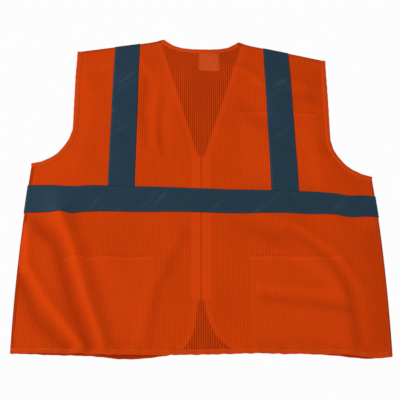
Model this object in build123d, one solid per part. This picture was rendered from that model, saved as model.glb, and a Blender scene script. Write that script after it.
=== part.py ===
from build123d import *
import os

# High-visibility mesh vest with a zipped front, hanging straight down.
# X points to the wearer's right, Y to the wearer's front and Z up.
# The origin is midway between the two neck points, halfway through the depth.
# All lengths are in millimetres.

# Outline of the garment, given for the wearer's right half
NECK_POINT = (76, 0)
BACK_NECK_DROP = 25
SHOULDER_TIP = (251, -36)
ARMHOLE_BEND = (248, -215)
ARMHOLE_MID = (272.5, -274)
UNDERARM = (322, -298)
SIDE_BULGE = (330, -480)
HEM_CORNER = (329, -663)
HEM_DROP = 670
NECKLINE_MID = (51, -75)
FRONT_EDGE_X = 5.5
ZIP_TOP_Z = -264
ZIP_BOTTOM_Z = -558
FRONT_CORNER_START = (10, -598)
FRONT_CORNER_MID = (20, -632)
FRONT_CORNER_END = (60, -659)

# Depth of each layer
CLOTH = 1.0
TAPE_CLOTH = 0.8
PANEL_OUTER_Y = 12
POCKET_DEPTH = 6
ZIP_TAPE_Y = (9.8, 10.4)

# Edges and seams
BINDING_WIDTH = 9
BINDING_CLOTH = 0.6
SEAM_WIDTH = 2
SEAM_START_X = 86
ARMHOLE_BAND_X = 241.5
ARMHOLE_BAND_Z = -307.5
HEM_BAND_Z = -653

# Reflective tape, 2 inches wide
TAPE_WIDTH = 50.8
WAIST_TOP_Z = -343.5
BRACE_X = 150
BRACE_GAP = 0.2

# Fold line of each front, from the neck point to the hem corner
FOLD_GAP = 1.2

# Pockets, as (nearest x, furthest x, top z, bottom z)
LOWER_POCKET = (86, 254, -484, -641)
CHEST_POCKET = (76, 222, -166, -331)
POCKET_RIM = 1.5
MOUTH_HEIGHT = 10
MOUTH_CLOTH = 0.8

# Zip fastener
ROW_GAP = 0.45
ROW_WIDTH = 2.55
ROW_THICKNESS = 2.0
ZIP_TAPE_EDGE_X = 17.5
SLIDER_TOP_Z = -265
SLIDER_HEIGHT = 11
SLIDER_HALF_WIDTH = 4.5
SLIDER_PLATE = 1.0
SLIDER_CLEARANCE = 0.3
SLIDER_WEB = 0.7
SLIDER_LIP = 1.1
PULL_LENGTH = 28
PULL_WIDTH = 6
PULL_THICKNESS = 1.4
PIVOT_WIDTH = 2.2
PIVOT_STAND_OFF = 2.1
PIVOT_PIN_R = 0.7
STOP_HEIGHT = 2.2
RETAINER_BOX = (7.0, 3.6, 6.0)
INSERTION_PIN_HEIGHT = 9

# Label at the back of the neck
LABEL_X = (-4, 36)
LABEL_TOP_Z = -31
LABEL_SIZE = 40
LABEL_CLOTH = 0.6

FAR = 1000


def slab(face, y_low, y_high):
    """Thickens a face drawn in X and Z between two depths."""
    plane = Plane(origin=(0, y_high, 0), x_dir=(1, 0, 0), z_dir=(0, -1, 0))
    return extrude(plane * face, amount=y_high - y_low)


def rectangle(x_low, x_high, z_low, z_high):
    """A face in X and Z from its limits."""
    middle = ((x_low + x_high) / 2, (z_low + z_high) / 2)
    return Pos(*middle) * Rectangle(x_high - x_low, z_high - z_low)


def block(x, y, z):
    """A box from its limits along each axis."""
    size = (x[1] - x[0], y[1] - y[0], z[1] - z[0])
    middle = ((x[0] + x[1]) / 2, (y[0] + y[1]) / 2, (z[0] + z[1]) / 2)
    return Pos(*middle) * Box(*size)


def mirrored(shape):
    """The same piece on the wearer's left."""
    return mirror(shape, about=Plane.YZ)


def right_edges():
    """Shoulder, armhole and side of the wearer's right half, from the neck down."""
    return [
        Line(NECK_POINT, SHOULDER_TIP),
        Line(SHOULDER_TIP, ARMHOLE_BEND),
        ThreePointArc(ARMHOLE_BEND, ARMHOLE_MID, UNDERARM),
        ThreePointArc(UNDERARM, SIDE_BULGE, HEM_CORNER),
    ]


def back_outline():
    """Face of the whole back."""
    left_neck = (-NECK_POINT[0], NECK_POINT[1])
    left_hem = (-HEM_CORNER[0], HEM_CORNER[1])
    edges = right_edges()
    edges += [mirror(edge, about=Plane.YZ) for edge in right_edges()]
    edges.append(ThreePointArc(left_neck, (0, -BACK_NECK_DROP), NECK_POINT))
    edges.append(ThreePointArc(left_hem, (0, -HEM_DROP), HEM_CORNER))
    return make_face(edges)


def front_outline():
    """Face of the wearer's right front, with its rounded lower corner."""
    zip_top = (FRONT_EDGE_X, ZIP_TOP_Z)
    zip_bottom = (FRONT_EDGE_X, ZIP_BOTTOM_Z)
    edges = right_edges()
    edges.append(ThreePointArc(NECK_POINT, NECKLINE_MID, zip_top))
    edges.append(Line(zip_top, zip_bottom))
    edges.append(Line(zip_bottom, FRONT_CORNER_START))
    edges.append(ThreePointArc(FRONT_CORNER_START, FRONT_CORNER_MID, FRONT_CORNER_END))
    edges.append(Line(FRONT_CORNER_END, HEM_CORNER))
    return make_face(edges)


def grown(outline, distance):
    """An outline moved outwards, or inwards where the distance is negative."""
    return offset(outline, amount=distance, kind=Kind.ARC)


def edge_strip(outline, width):
    """The strip inside an outline's edge."""
    return outline - grown(outline, -width)


def half_plane(side):
    """Everything on one side of the right fold line: 1 is the armhole side, -1 the zip side."""
    start = Vector(*NECK_POINT)
    along = (Vector(*HEM_CORNER) - start).normalized()
    across = Vector(-along.Y, along.X) * side
    near = start + across * FOLD_GAP
    corners = [
        near - along * FAR,
        near + along * FAR,
        near + along * FAR + across * FAR,
        near - along * FAR + across * FAR,
    ]
    return make_face(Polyline(*[(p.X, p.Y) for p in corners], close=True))


SIDE = half_plane(1)
FLAP = half_plane(-1)
BACK = back_outline()
FRONT = front_outline()
BACK_SKIN = (-PANEL_OUTER_Y, CLOTH - PANEL_OUTER_Y)
FRONT_SKIN = (PANEL_OUTER_Y - CLOTH, PANEL_OUTER_Y)
ARMHOLE_ZONE = rectangle(ARMHOLE_BAND_X, FAR, ARMHOLE_BAND_Z, FAR)
SHOULDER_ZONE = rectangle(SEAM_START_X, ARMHOLE_BAND_X, -60, FAR)
SIDE_ZONE = rectangle(280, FAR, HEM_BAND_Z, ARMHOLE_BAND_Z)


def seam_wall(outline, zone):
    """A seam that reaches from the back's outer face to the front's."""
    return slab(edge_strip(outline, SEAM_WIDTH) & zone, -PANEL_OUTER_Y, PANEL_OUTER_Y)


def without_seams(outline):
    """An outline less the strips that the seams take, on both sides of the garment."""
    strip = edge_strip(outline, SEAM_WIDTH)
    for zone in (SHOULDER_ZONE, SIDE_ZONE):
        outline = outline - (strip & zone) - (strip & mirrored(zone))
    return outline


def binding(outline, zone, skin):
    """A strip folded round the panel's edge, with the panel's cloth between its two layers."""
    covered = edge_strip(outline, BINDING_WIDTH) & zone
    fold = (grown(outline, BINDING_CLOTH) - outline) & zone
    low, high = skin[0] - BINDING_CLOTH, skin[1] + BINDING_CLOTH
    return slab(fold, low, high) + slab(covered, low, skin[0]) + slab(covered, skin[1], high)


def armhole_binding():
    """One loop of binding round the right armhole, joined at the shoulder and the underarm."""
    loop = binding(BACK, ARMHOLE_ZONE, BACK_SKIN) + binding(FRONT, ARMHOLE_ZONE, FRONT_SKIN)
    edge = edge_strip(BACK, SEAM_WIDTH)
    shoulder = rectangle(ARMHOLE_BAND_X, FAR, SHOULDER_TIP[1] - SEAM_WIDTH, FAR)
    underarm = rectangle(UNDERARM[0] - SEAM_WIDTH, FAR, ARMHOLE_BAND_Z, UNDERARM[1])
    for end in (shoulder, underarm):
        loop += slab(edge & end, BACK_SKIN[1], FRONT_SKIN[0])
    return loop


def front_strip(face, part):
    """Reflective tape on the front's outer face, kept on one side of the fold."""
    return slab(face & part, PANEL_OUTER_Y, PANEL_OUTER_Y + TAPE_CLOTH)


def brace_face(centre):
    """A brace tape from the shoulder seam down to the waist tape."""
    top = rectangle(centre - TAPE_WIDTH / 2, centre + TAPE_WIDTH / 2, WAIST_TOP_Z + BRACE_GAP, 0)
    return top & grown(BACK, -SEAM_WIDTH)


def waist_face(x_low, x_high):
    """The waist tape between two distances from the middle."""
    return rectangle(x_low, x_high, WAIST_TOP_Z - TAPE_WIDTH, WAIST_TOP_Z)


def pocket(limits, part):
    """An inside patch pocket: a tray sewn to the front's inner face, open at its top."""
    x_low, x_high, top, bottom = limits
    y_high = FRONT_SKIN[0]
    tray = slab(rectangle(x_low, x_high, bottom, top) & part, y_high - POCKET_DEPTH, y_high)
    hollow = rectangle(x_low + POCKET_RIM, x_high - POCKET_RIM, bottom + POCKET_RIM, top + 1)
    return tray - slab(hollow, y_high - POCKET_DEPTH + CLOTH, y_high + 1)


def pocket_mouth(limits, part):
    """The folded strip along the top edge of a pocket, on its torso side."""
    x_low, x_high, top, _ = limits
    y_high = FRONT_SKIN[0] - POCKET_DEPTH
    return slab(rectangle(x_low, x_high, top - MOUTH_HEIGHT, top) & part, y_high - MOUTH_CLOTH, y_high)


def zip_tape(notched):
    """Right half of the zip's woven tape. A notched one leaves the slider's place free."""
    face = rectangle(ROW_GAP, ZIP_TAPE_EDGE_X, ZIP_BOTTOM_Z, ZIP_TOP_Z + STOP_HEIGHT + 1)
    if notched:
        low = SLIDER_TOP_Z - SLIDER_HEIGHT - SLIDER_CLEARANCE
        high = SLIDER_TOP_Z + SLIDER_CLEARANCE
        face = face - rectangle(0, SLIDER_HALF_WIDTH + SLIDER_CLEARANCE, low, high)
    return slab(face, *ZIP_TAPE_Y)


def zip_row(z_high):
    """Right half of the closed coil, as one bar of its outer size."""
    y_low = ZIP_TAPE_Y[1]
    z_low = ZIP_BOTTOM_Z + RETAINER_BOX[2] + SLIDER_CLEARANCE + INSERTION_PIN_HEIGHT
    return block((ROW_GAP, ROW_GAP + ROW_WIDTH), (y_low, y_low + ROW_THICKNESS), (z_low, z_high))


def top_stop():
    """The small clamp above the right row."""
    low = ZIP_TOP_Z - 0.4
    y_low = ZIP_TAPE_Y[1]
    return block((ROW_GAP + 0.2, ROW_GAP + ROW_WIDTH), (y_low, y_low + 1.6), (low, low + STOP_HEIGHT))


def slider():
    """Two plates joined by a web between the rows, with lips over the tape and a pivot in front."""
    top, low = SLIDER_TOP_Z, SLIDER_TOP_Z - SLIDER_HEIGHT
    x = (-SLIDER_HALF_WIDTH, SLIDER_HALF_WIDTH)
    back_y = ZIP_TAPE_Y[0] - SLIDER_CLEARANCE
    front_y = ZIP_TAPE_Y[1] + ROW_THICKNESS + SLIDER_CLEARANCE
    body = block(x, (back_y - SLIDER_PLATE, back_y), (low, top))
    body += block(x, (front_y, front_y + SLIDER_PLATE), (low, top))
    body += block((-SLIDER_WEB / 2, SLIDER_WEB / 2), (back_y, front_y), (low, top))
    lip_y = (ZIP_TAPE_Y[1] + SLIDER_CLEARANCE, front_y)
    for side in (-1, 1):
        edge = side * SLIDER_HALF_WIDTH
        lip_x = sorted((edge, edge - side * SLIDER_LIP))
        body += block(lip_x, lip_y, (low, top))
    return body + slider_pivot(front_y + SLIDER_PLATE)


def pivot_centre():
    """Depth and height of the pull's pivot pin."""
    front_y = ZIP_TAPE_Y[1] + ROW_THICKNESS + SLIDER_CLEARANCE + SLIDER_PLATE
    return front_y + PIVOT_STAND_OFF, SLIDER_TOP_Z - SLIDER_HEIGHT / 2


def slider_pivot(face_y):
    """A post on the slider's front plate with a pin through it for the pull."""
    pin_y, pin_z = pivot_centre()
    half = PIVOT_WIDTH / 2
    post = block((-half, half), (face_y, pin_y + PIVOT_PIN_R), (pin_z - 1.2, pin_z + 1.2))
    pin = Pos(0, pin_y, pin_z) * Rot(0, 90, 0) * Cylinder(PIVOT_PIN_R, PULL_WIDTH - 1.4)
    return post + pin


def pull():
    """The tab that hangs from the slider: two eyes on the pin and a plain grip below."""
    pin_y, pin_z = pivot_centre()
    half = PULL_WIDTH / 2
    eye_z = pin_z - 3
    y = (pin_y - PULL_THICKNESS / 2, pin_y + PULL_THICKNESS / 2)
    tab = block((-half, half), y, (pin_z - PULL_LENGTH, eye_z))
    bore = Pos(0, pin_y, pin_z) * Rot(0, 90, 0) * Cylinder(PIVOT_PIN_R + 0.06, PULL_WIDTH)
    for side in (-1, 1):
        inner = side * (PIVOT_WIDTH / 2 + 0.3)
        ear_x = sorted((inner, side * (half - 0.6)))
        tab += block(ear_x, (y[0] - 0.4, y[1] + 0.4), (eye_z - 1, pin_z + 1.2))
    return tab - bore


def retainer_box():
    """The box at the foot of the left half of the zip, with a well for the right half's pin."""
    width, thickness, height = RETAINER_BOX
    y_low = ZIP_TAPE_Y[1]
    z = (ZIP_BOTTOM_Z, ZIP_BOTTOM_Z + height)
    solid = block((-width / 2, 0), (y_low, y_low + thickness), z)
    solid += block((0, width / 2), (y_low + SLIDER_CLEARANCE, y_low + thickness), z)
    well_x = (ROW_GAP - 0.1, width / 2 - 0.4)
    well_y = (y_low + 0.8, y_low + thickness - 0.5)
    return solid - block(well_x, well_y, (z[0] + 1, z[1] + 1))


def insertion_pin(side):
    """The stiff post below one row; the right one ends at the mouth of the retainer box."""
    x = sorted((side * (ROW_GAP + 0.1), side * (ROW_GAP + ROW_WIDTH - 0.2)))
    y_low = ZIP_TAPE_Y[1]
    z_low = ZIP_BOTTOM_Z + RETAINER_BOX[2] + SLIDER_CLEARANCE
    return block(x, (y_low, y_low + 1.8), (z_low, z_low + INSERTION_PIN_HEIGHT))


def label():
    """The sewn label, held along its top edge."""
    y_low = BACK_SKIN[1] + BINDING_CLOTH + 0.3
    x_low, x_high = LABEL_X
    face = rectangle(x_low, x_high, LABEL_TOP_Z - LABEL_SIZE, LABEL_TOP_Z)
    return slab(face, y_low, y_low + LABEL_CLOTH)


def back_nodes():
    """Everything that belongs to the back and its edges."""
    width = TAPE_WIDTH
    tape_y = (-PANEL_OUTER_Y - TAPE_CLOTH, -PANEL_OUTER_Y)
    inset = grown(BACK, -SEAM_WIDTH)
    nodes = {
        "back_panel": slab(without_seams(BACK), *BACK_SKIN),
        "back_waist_tape": slab(waist_face(-FAR, FAR) & inset, *tape_y),
        "back_neck_binding": binding(BACK, rectangle(-NECK_POINT[0], NECK_POINT[0], -60, FAR), BACK_SKIN),
        "back_hem_binding": binding(BACK, rectangle(-FAR, FAR, -FAR, HEM_BAND_Z), BACK_SKIN),
        "right_brace_tape_back": slab(brace_face(BRACE_X), *tape_y),
        "right_shoulder_seam": seam_wall(BACK, SHOULDER_ZONE),
        "right_side_seam": seam_wall(BACK, SIDE_ZONE),
        "right_armhole_binding": armhole_binding(),
    }
    for piece in ("brace_tape_back", "shoulder_seam", "side_seam", "armhole_binding"):
        nodes["left_" + piece] = mirrored(nodes["right_" + piece])
    return nodes


def front_nodes():
    """Both fronts, each as the part that stays and the part that folds open."""
    panel = without_seams(FRONT)
    brace = brace_face(BRACE_X)
    waist = waist_face(FRONT_EDGE_X + BINDING_WIDTH, FAR) & grown(FRONT, -SEAM_WIDTH)
    edge_zone = FLAP - rectangle(-FAR, FAR, -2, FAR)
    pieces = {
        "front_panel_side": slab(panel & SIDE, *FRONT_SKIN),
        "front_panel_flap": slab(panel & FLAP, *FRONT_SKIN),
        "front_edge_binding": binding(FRONT, edge_zone, FRONT_SKIN),
        "brace_tape_front_upper": front_strip(brace, SIDE),
        "brace_tape_front_lower": front_strip(brace, FLAP),
        "waist_tape_front_side": front_strip(waist, SIDE),
        "waist_tape_front_flap": front_strip(waist, FLAP),
        "lower_pocket": pocket(LOWER_POCKET, FLAP),
        "lower_pocket_mouth": pocket_mouth(LOWER_POCKET, FLAP),
        "zip_top_stop": top_stop(),
    }
    nodes = {}
    for name, shape in pieces.items():
        nodes["right_" + name] = shape
        nodes["left_" + name] = mirrored(shape)
    for name, part in (("side", SIDE), ("flap", FLAP)):
        nodes["chest_pocket_" + name] = pocket(CHEST_POCKET, part)
        nodes["chest_pocket_mouth_" + name] = pocket_mouth(CHEST_POCKET, part)
    return nodes


def zip_nodes():
    """The two halves of the zip and what runs on them."""
    slider_foot = SLIDER_TOP_Z - SLIDER_HEIGHT - SLIDER_CLEARANCE
    return {
        "right_zip_tape": zip_tape(notched=True),
        "left_zip_tape": mirrored(zip_tape(notched=False)),
        "right_zip_row": zip_row(slider_foot),
        "left_zip_row": mirrored(zip_row(SLIDER_TOP_Z)),
        "zip_retainer_box": retainer_box(),
        "zip_insertion_pin": insertion_pin(1),
        "zip_fixed_pin": insertion_pin(-1),
        "zip_slider": slider(),
        "zip_pull": pull(),
    }


def write(nodes):
    """Writes one STEP file per node."""
    os.makedirs("parts", exist_ok=True)
    for name, shape in nodes.items():
        export_step(shape, f"parts/{name}.step")


write({**back_nodes(), **front_nodes(), **zip_nodes(), "neck_label": label()})
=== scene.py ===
import logging
import math
from dataclasses import dataclass
from enum import Enum
from typing import Any, Sequence, Union

import bmesh
import bpy
import numpy as np
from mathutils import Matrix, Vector
from mathutils.geometry import delaunay_2d_cdt


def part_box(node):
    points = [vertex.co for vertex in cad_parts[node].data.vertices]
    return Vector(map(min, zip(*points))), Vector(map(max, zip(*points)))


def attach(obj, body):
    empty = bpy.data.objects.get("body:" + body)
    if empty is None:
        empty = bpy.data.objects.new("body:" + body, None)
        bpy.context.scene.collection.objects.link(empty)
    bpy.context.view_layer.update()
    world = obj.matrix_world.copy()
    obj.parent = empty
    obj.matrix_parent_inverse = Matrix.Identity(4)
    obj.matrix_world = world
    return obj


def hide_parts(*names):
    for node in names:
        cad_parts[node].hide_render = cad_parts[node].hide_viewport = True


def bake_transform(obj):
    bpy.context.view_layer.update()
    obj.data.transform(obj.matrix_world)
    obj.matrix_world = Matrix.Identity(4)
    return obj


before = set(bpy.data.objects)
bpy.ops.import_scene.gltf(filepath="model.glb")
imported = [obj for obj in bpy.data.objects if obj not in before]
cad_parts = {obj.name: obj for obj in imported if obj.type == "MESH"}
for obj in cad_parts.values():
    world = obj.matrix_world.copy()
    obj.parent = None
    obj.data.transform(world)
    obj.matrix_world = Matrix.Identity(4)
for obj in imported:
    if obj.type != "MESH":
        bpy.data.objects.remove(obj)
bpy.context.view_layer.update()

MM = 0.001
BINDING_WIDTH = 9 * MM
log = logging.getLogger("vest")
Number = Union[float, "Wire"]
Colour = tuple[float, float, float]


# ---------------------------------------------------------------- shader wires


@dataclass(frozen=True)
class Wire:
    """An output socket that arithmetic can be written on."""

    shader: "Shader"
    socket: bpy.types.NodeSocket

    def _math(self, operation: str, *values: Number) -> "Wire":
        """Adds one Math node.

        Args:
            operation: The Math node's operation.
            values: Its inputs in order.

        Returns:
            The node's result.
        """
        return self.shader.add("ShaderNodeMath", {"operation": operation}, dict(enumerate(values)))

    def __add__(self, other: Number) -> "Wire":
        """Sum."""
        return self._math("ADD", self, other)

    def __radd__(self, other: Number) -> "Wire":
        """Sum with a number on the left."""
        return self._math("ADD", other, self)

    def __sub__(self, other: Number) -> "Wire":
        """Difference."""
        return self._math("SUBTRACT", self, other)

    def __rsub__(self, other: Number) -> "Wire":
        """Difference from a number."""
        return self._math("SUBTRACT", other, self)

    def __mul__(self, other: Number) -> "Wire":
        """Product."""
        return self._math("MULTIPLY", self, other)

    def __rmul__(self, other: Number) -> "Wire":
        """Product with a number on the left."""
        return self._math("MULTIPLY", other, self)

    def __truediv__(self, other: Number) -> "Wire":
        """Quotient."""
        return self._math("DIVIDE", self, other)

    def __pow__(self, other: Number) -> "Wire":
        """Power."""
        return self._math("POWER", self, other)

    def __lt__(self, other: Number) -> "Wire":
        """One where this is less than the other, and nought elsewhere."""
        return self._math("LESS_THAN", self, other)

    def __gt__(self, other: Number) -> "Wire":
        """One where this is more than the other, and nought elsewhere."""
        return self._math("GREATER_THAN", self, other)

    def size(self) -> "Wire":
        """Distance from nought."""
        return self._math("ABSOLUTE", self)

    def fraction(self) -> "Wire":
        """Part after the decimal point."""
        return self._math("FRACT", self)

    def sine(self) -> "Wire":
        """Sine of the value in radians."""
        return self._math("SINE", self)

    def least(self, other: Number) -> "Wire":
        """The smaller of two values."""
        return self._math("MINIMUM", self, other)

    def most(self, other: Number) -> "Wire":
        """The larger of two values."""
        return self._math("MAXIMUM", self, other)

    def rise(self, low: float, high: float) -> "Wire":
        """A smooth step.

        Args:
            low: The value at which the step leaves nought.
            high: The value at which it reaches one.

        Returns:
            The step's height.
        """
        settings = {"interpolation_type": "SMOOTHSTEP"}
        values = {"Value": self, "From Min": low, "From Max": high}
        return self.shader.add("ShaderNodeMapRange", settings, values)


class Shader:
    """A material's node tree, built node by node."""

    def __init__(self, name: str) -> None:
        """Starts an empty material.

        Args:
            name: The material's name.
        """
        self.material = bpy.data.materials.new(name)
        self.material.use_nodes = True
        self.tree = self.material.node_tree
        self.tree.nodes.clear()

    def add(
        self,
        kind: str,
        settings: dict[str, Any] | None = None,
        values: dict[Any, Any] | None = None,
        out: int | str = 0,
    ) -> Wire:
        """Adds any node.

        Args:
            kind: The node's type.
            settings: Its properties, which are set first.
            values: Its inputs by name or number, each a number, a colour or a wire.
            out: Which output to hand back.

        Returns:
            The chosen output.
        """
        node = self.tree.nodes.new(kind)
        for key, value in (settings or {}).items():
            setattr(node, key, value)
        for key, value in (values or {}).items():
            if isinstance(value, Wire):
                self.tree.links.new(value.socket, node.inputs[key])
            else:
                node.inputs[key].default_value = value
        return Wire(self, node.outputs[out])

    def attribute(self, name: str, part: str = "Vector") -> Wire:
        """One of the mesh's attributes."""
        return self.add("ShaderNodeAttribute", {"attribute_name": name}, out=part)

    def split(self, vector: Wire) -> list[Wire]:
        """The three parts of a vector."""
        node = self.add("ShaderNodeSeparateXYZ", values={0: vector}).socket.node
        return [Wire(self, output) for output in node.outputs]

    def noise(self, where: Wire, scale: float, detail: float = 2.0) -> Wire:
        """Smooth noise from nought to one.

        Args:
            where: Coordinates in metres.
            scale: Lumps to the metre.
            detail: Octaves.

        Returns:
            The noise.
        """
        return self.add("ShaderNodeTexNoise", values={"Vector": where, "Scale": scale, "Detail": detail})

    def mix(self, share: Number, first: Any, second: Any) -> Wire:
        """Blends two colours.

        Args:
            share: Nought for the first colour, one for the second.
            first: A colour or wire.
            second: A colour or wire.

        Returns:
            The blend.
        """
        colours = [c if isinstance(c, Wire) else (*c, 1.0) for c in (first, second)]
        values = {0: share, 6: colours[0], 7: colours[1]}
        return self.add("ShaderNodeMix", {"data_type": "RGBA"}, values, out=2)

    def bump(self, height: Wire, depth: float, strength: float = 1.0) -> Wire:
        """Surface relief.

        Args:
            height: Relief from nought to one.
            depth: Its depth in metres.
            strength: How much of it shows.

        Returns:
            The bent normal.
        """
        return self.add("ShaderNodeBump", values={"Height": height, "Distance": depth, "Strength": strength})

    def finish(self, **sockets: Any) -> bpy.types.Material:
        """Adds the surface shader and the output.

        Args:
            sockets: Values of the shader's inputs, with _ for a space.

        Returns:
            The finished material.
        """
        values = {name.replace("_", " "): value for name, value in sockets.items()}
        surface = self.add("ShaderNodeBsdfPrincipled", values=values)
        self.add_output(surface)
        return self.material

    def add_output(self, surface: Wire) -> None:
        """Joins a surface to the material's output."""
        node = self.tree.nodes.new("ShaderNodeOutputMaterial")
        self.tree.links.new(surface.socket, node.inputs["Surface"])


# ---------------------------------------------------------------- finishes


ORANGE_GLOSS = (1.0, 0.30, 0.06, 1.0)
SLATE_GLOSS = (0.45, 0.75, 1.0, 1.0)
TURN = 2 * math.pi


def toned(colour: Colour, factor: float) -> Colour:
    """A colour made darker or lighter."""
    return tuple(c * factor for c in colour)


def dashes(along: Wire, length: float) -> Wire:
    """One on the stitches of a row, nought between them."""
    return ((along / length).fraction() - 0.5).size().rise(0.42, 0.34)


@dataclass(frozen=True)
class Hexagons:
    """The lattice of openings knitted into the mesh cloth."""

    column: float = 4.03 * MM
    pitch: float = 4.40 * MM
    half_width: float = 1.32 * MM
    half_height: float = 1.60 * MM

    def distance(self, across: Wire, down: Wire) -> Wire:
        """How far a point is from the nearest opening's middle.

        Args:
            across: Flat coordinate across the columns.
            down: Flat coordinate along the columns.

        Returns:
            Distance in opening radii, one at the rim.
        """
        nearest = None
        for shift in (0.0, 0.5):
            x = ((across / (2 * self.column) + shift).fraction() - 0.5) * (2 * self.column / self.half_width)
            z = ((down / self.pitch + shift).fraction() - 0.5) * (self.pitch / self.half_height)
            squared = x * x + z * z
            nearest = squared if nearest is None else nearest.least(squared)
        return nearest**0.5


class Behind(Enum):
    """What the mesh cloth's openings are painted with: the layers behind as they look in the shade between
    the layers, or only a painted shade of the cloth.
    """

    FRONTS = "fronts, pockets, zip and label"
    OWN_SHADE = "only the yarn's own shade"


@dataclass(frozen=True)
class Glimpse:
    """A painted rectangle in the openings, for the next layer behind as it looks in the shade between the
    layers.
    """

    low: tuple[float, float]
    high: tuple[float, float]
    colour: Colour

    def covers(self, x: Wire, z: Wire) -> Wire:
        """One inside the rectangle, with soft edges.

        Args:
            x: Flat coordinate across the garment.
            z: Flat coordinate upwards.

        Returns:
            The covered share.
        """
        across = (x - self.low[0]).least(self.high[0] - x)
        up = (z - self.low[1]).least(self.high[1] - z)
        blur = 0.8 * MM
        return across.least(up).rise(-blur, blur)


@dataclass(frozen=True)
class MeshCloth:
    """Knitted fluorescent polyester with hexagonal openings.

    Valleys are painted darker (painted shade) and ridges lighter (painted highlight), each by a gain
    on the fold's height, the most that it may reach, and the tone that it takes from the cloth's colour.
    """

    name: str
    behind: Behind
    glimpses: tuple[Glimpse, ...] = ()
    colour: Colour = (0.565, 0.045, 0.0020)
    # painted shade in the openings: the darkest colour where nothing lies behind the back, the lighter ones
    # where a front or its edge lies behind in the shade between the layers
    shadow: Colour = (0.165, 0.014, 0.001)
    shaded_backing: Colour = (0.385, 0.030, 0.001)
    edge_behind: Colour = (0.475, 0.039, 0.002)
    # painted glow: the cloth emits light in its own colour, so it stays lit where shade falls
    glow: float = 0.07
    single_shade: float = 0.87
    crease_shade: float = 0.020
    valley_shade: tuple[float, float, float] = (2.2, 0.5, 0.22)
    ridge_highlight: tuple[float, float, float] = (2.0, 0.6, 1.30)
    border_blur: float = 2 * MM
    neckline_slope: float = 0.285
    neckline_low: float = -0.288
    neckline_half: float = 2 * MM
    hem_gap_high: float = -0.567
    hem_gap_half: float = 5 * MM
    hem_gap_slope: float = 0.13
    hem_gap_flare: float = 335.0
    hem_gap_drift: float = 1.1

    def single_layer(self, x: Wire, z: Wire, margin: float) -> Wire:
        """Where no front lies behind the back: inside the neckline and below the zip.

        Args:
            x: Flat coordinate across.
            z: Flat coordinate up.
            margin: How much wider than the opening.

        Returns:
            One inside those places.
        """
        blur = self.border_blur
        half = (z - self.neckline_low) * self.neckline_slope + self.neckline_half + margin
        neckline = (half - x.size()).rise(-blur, blur)
        below = self.hem_gap_high - z
        square = below * below
        reach = self.hem_gap_half + below * self.hem_gap_slope + square * square * self.hem_gap_flare + margin
        hem_gap = (reach - (x - square * self.hem_gap_drift).size()).rise(-blur, blur) * (below > 0.0)
        return (neckline * (z > self.neckline_low)).most(hem_gap)

    def openings(self, s: Shader, x: Wire, z: Wire, outside: Wire) -> tuple[Any, Number]:
        """Painted colour of the openings, all painted shade: darkest where nothing lies behind, lighter along
        the front's edge, and elsewhere the layers behind in the shade between the layers.

        Args:
            s: The material.
            x: Flat coordinate across.
            z: Flat coordinate up.
            outside: One on the cloth's outer face.

        Returns:
            The colour, and one where nothing lies behind.
        """
        if self.behind is Behind.OWN_SHADE:
            return self.shaded_backing, 0.0
        single = self.single_layer(x, z, 0.0) * outside
        bordered = self.single_layer(x, z, BINDING_WIDTH) * outside
        colour = s.mix(bordered, self.shaded_backing, self.edge_behind)
        colour = s.mix(single, colour, self.shadow)
        for glimpse in self.glimpses:
            colour = s.mix(glimpse.covers(x, z) * outside, colour, glimpse.colour)
        return colour, single

    def build(self) -> bpy.types.Material:
        """Makes the material.

        Returns:
            The material.
        """
        s = Shader(self.name)
        flat = s.attribute("flat")
        x, z, _ = s.split(flat)
        outside = 1.0 - s.attribute("inner", "Fac")
        wobble = s.noise(flat, 180.0) - 0.5
        rim = Hexagons().distance(x + wobble * (0.7 * MM), z + wobble * (0.5 * MM))
        closed = rim.rise(0.92, 1.05).most(s.attribute("hem", "Fac"))
        fade = s.noise(flat, 9.0, 3.0)
        grain = s.noise(flat, 2600.0, 1.0)
        yarn = s.mix(fade * 0.75 + grain * 0.25, toned(self.colour, 0.86), toned(self.colour, 1.13))
        # painted shade: the yarn is drawn darker towards each opening's rim, and darker again where no front
        # lies behind
        shade_and_wear = s.mix(rim.rise(1.55, 0.95) * 0.35, yarn, toned(self.colour, 0.55))
        opening, single = self.openings(s, x, z, outside)
        shade_and_wear = s.mix(single * (1.0 - self.single_shade), shade_and_wear, self.shadow)
        colour = s.mix(closed, opening, shade_and_wear)
        # painted shade in the creases' valleys and painted highlight on their ridges, set by the fold's
        # height
        fold = s.attribute("fold", "Fac") * (2.0 * outside - 1.0) * self.crease_shade
        for sign, (gain, limit, tone) in ((-1, self.valley_shade), (1, self.ridge_highlight)):
            share = (fold * (sign * gain)).most(0.0).least(limit)
            colour = s.mix(share, colour, toned(self.colour, tone))
        ribs = closed * (0.55 + 0.45 * (rim.rise(1.0, 1.45))) + grain * 0.18
        return s.finish(
            Base_Color=colour,
            Roughness=0.80 + 0.10 * grain,
            Normal=s.bump(ribs, 0.40 * MM, 0.6),
            Specular_IOR_Level=0.10,
            Specular_Tint=ORANGE_GLOSS,
            Emission_Color=colour,
            Emission_Strength=self.glow,
        )


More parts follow.
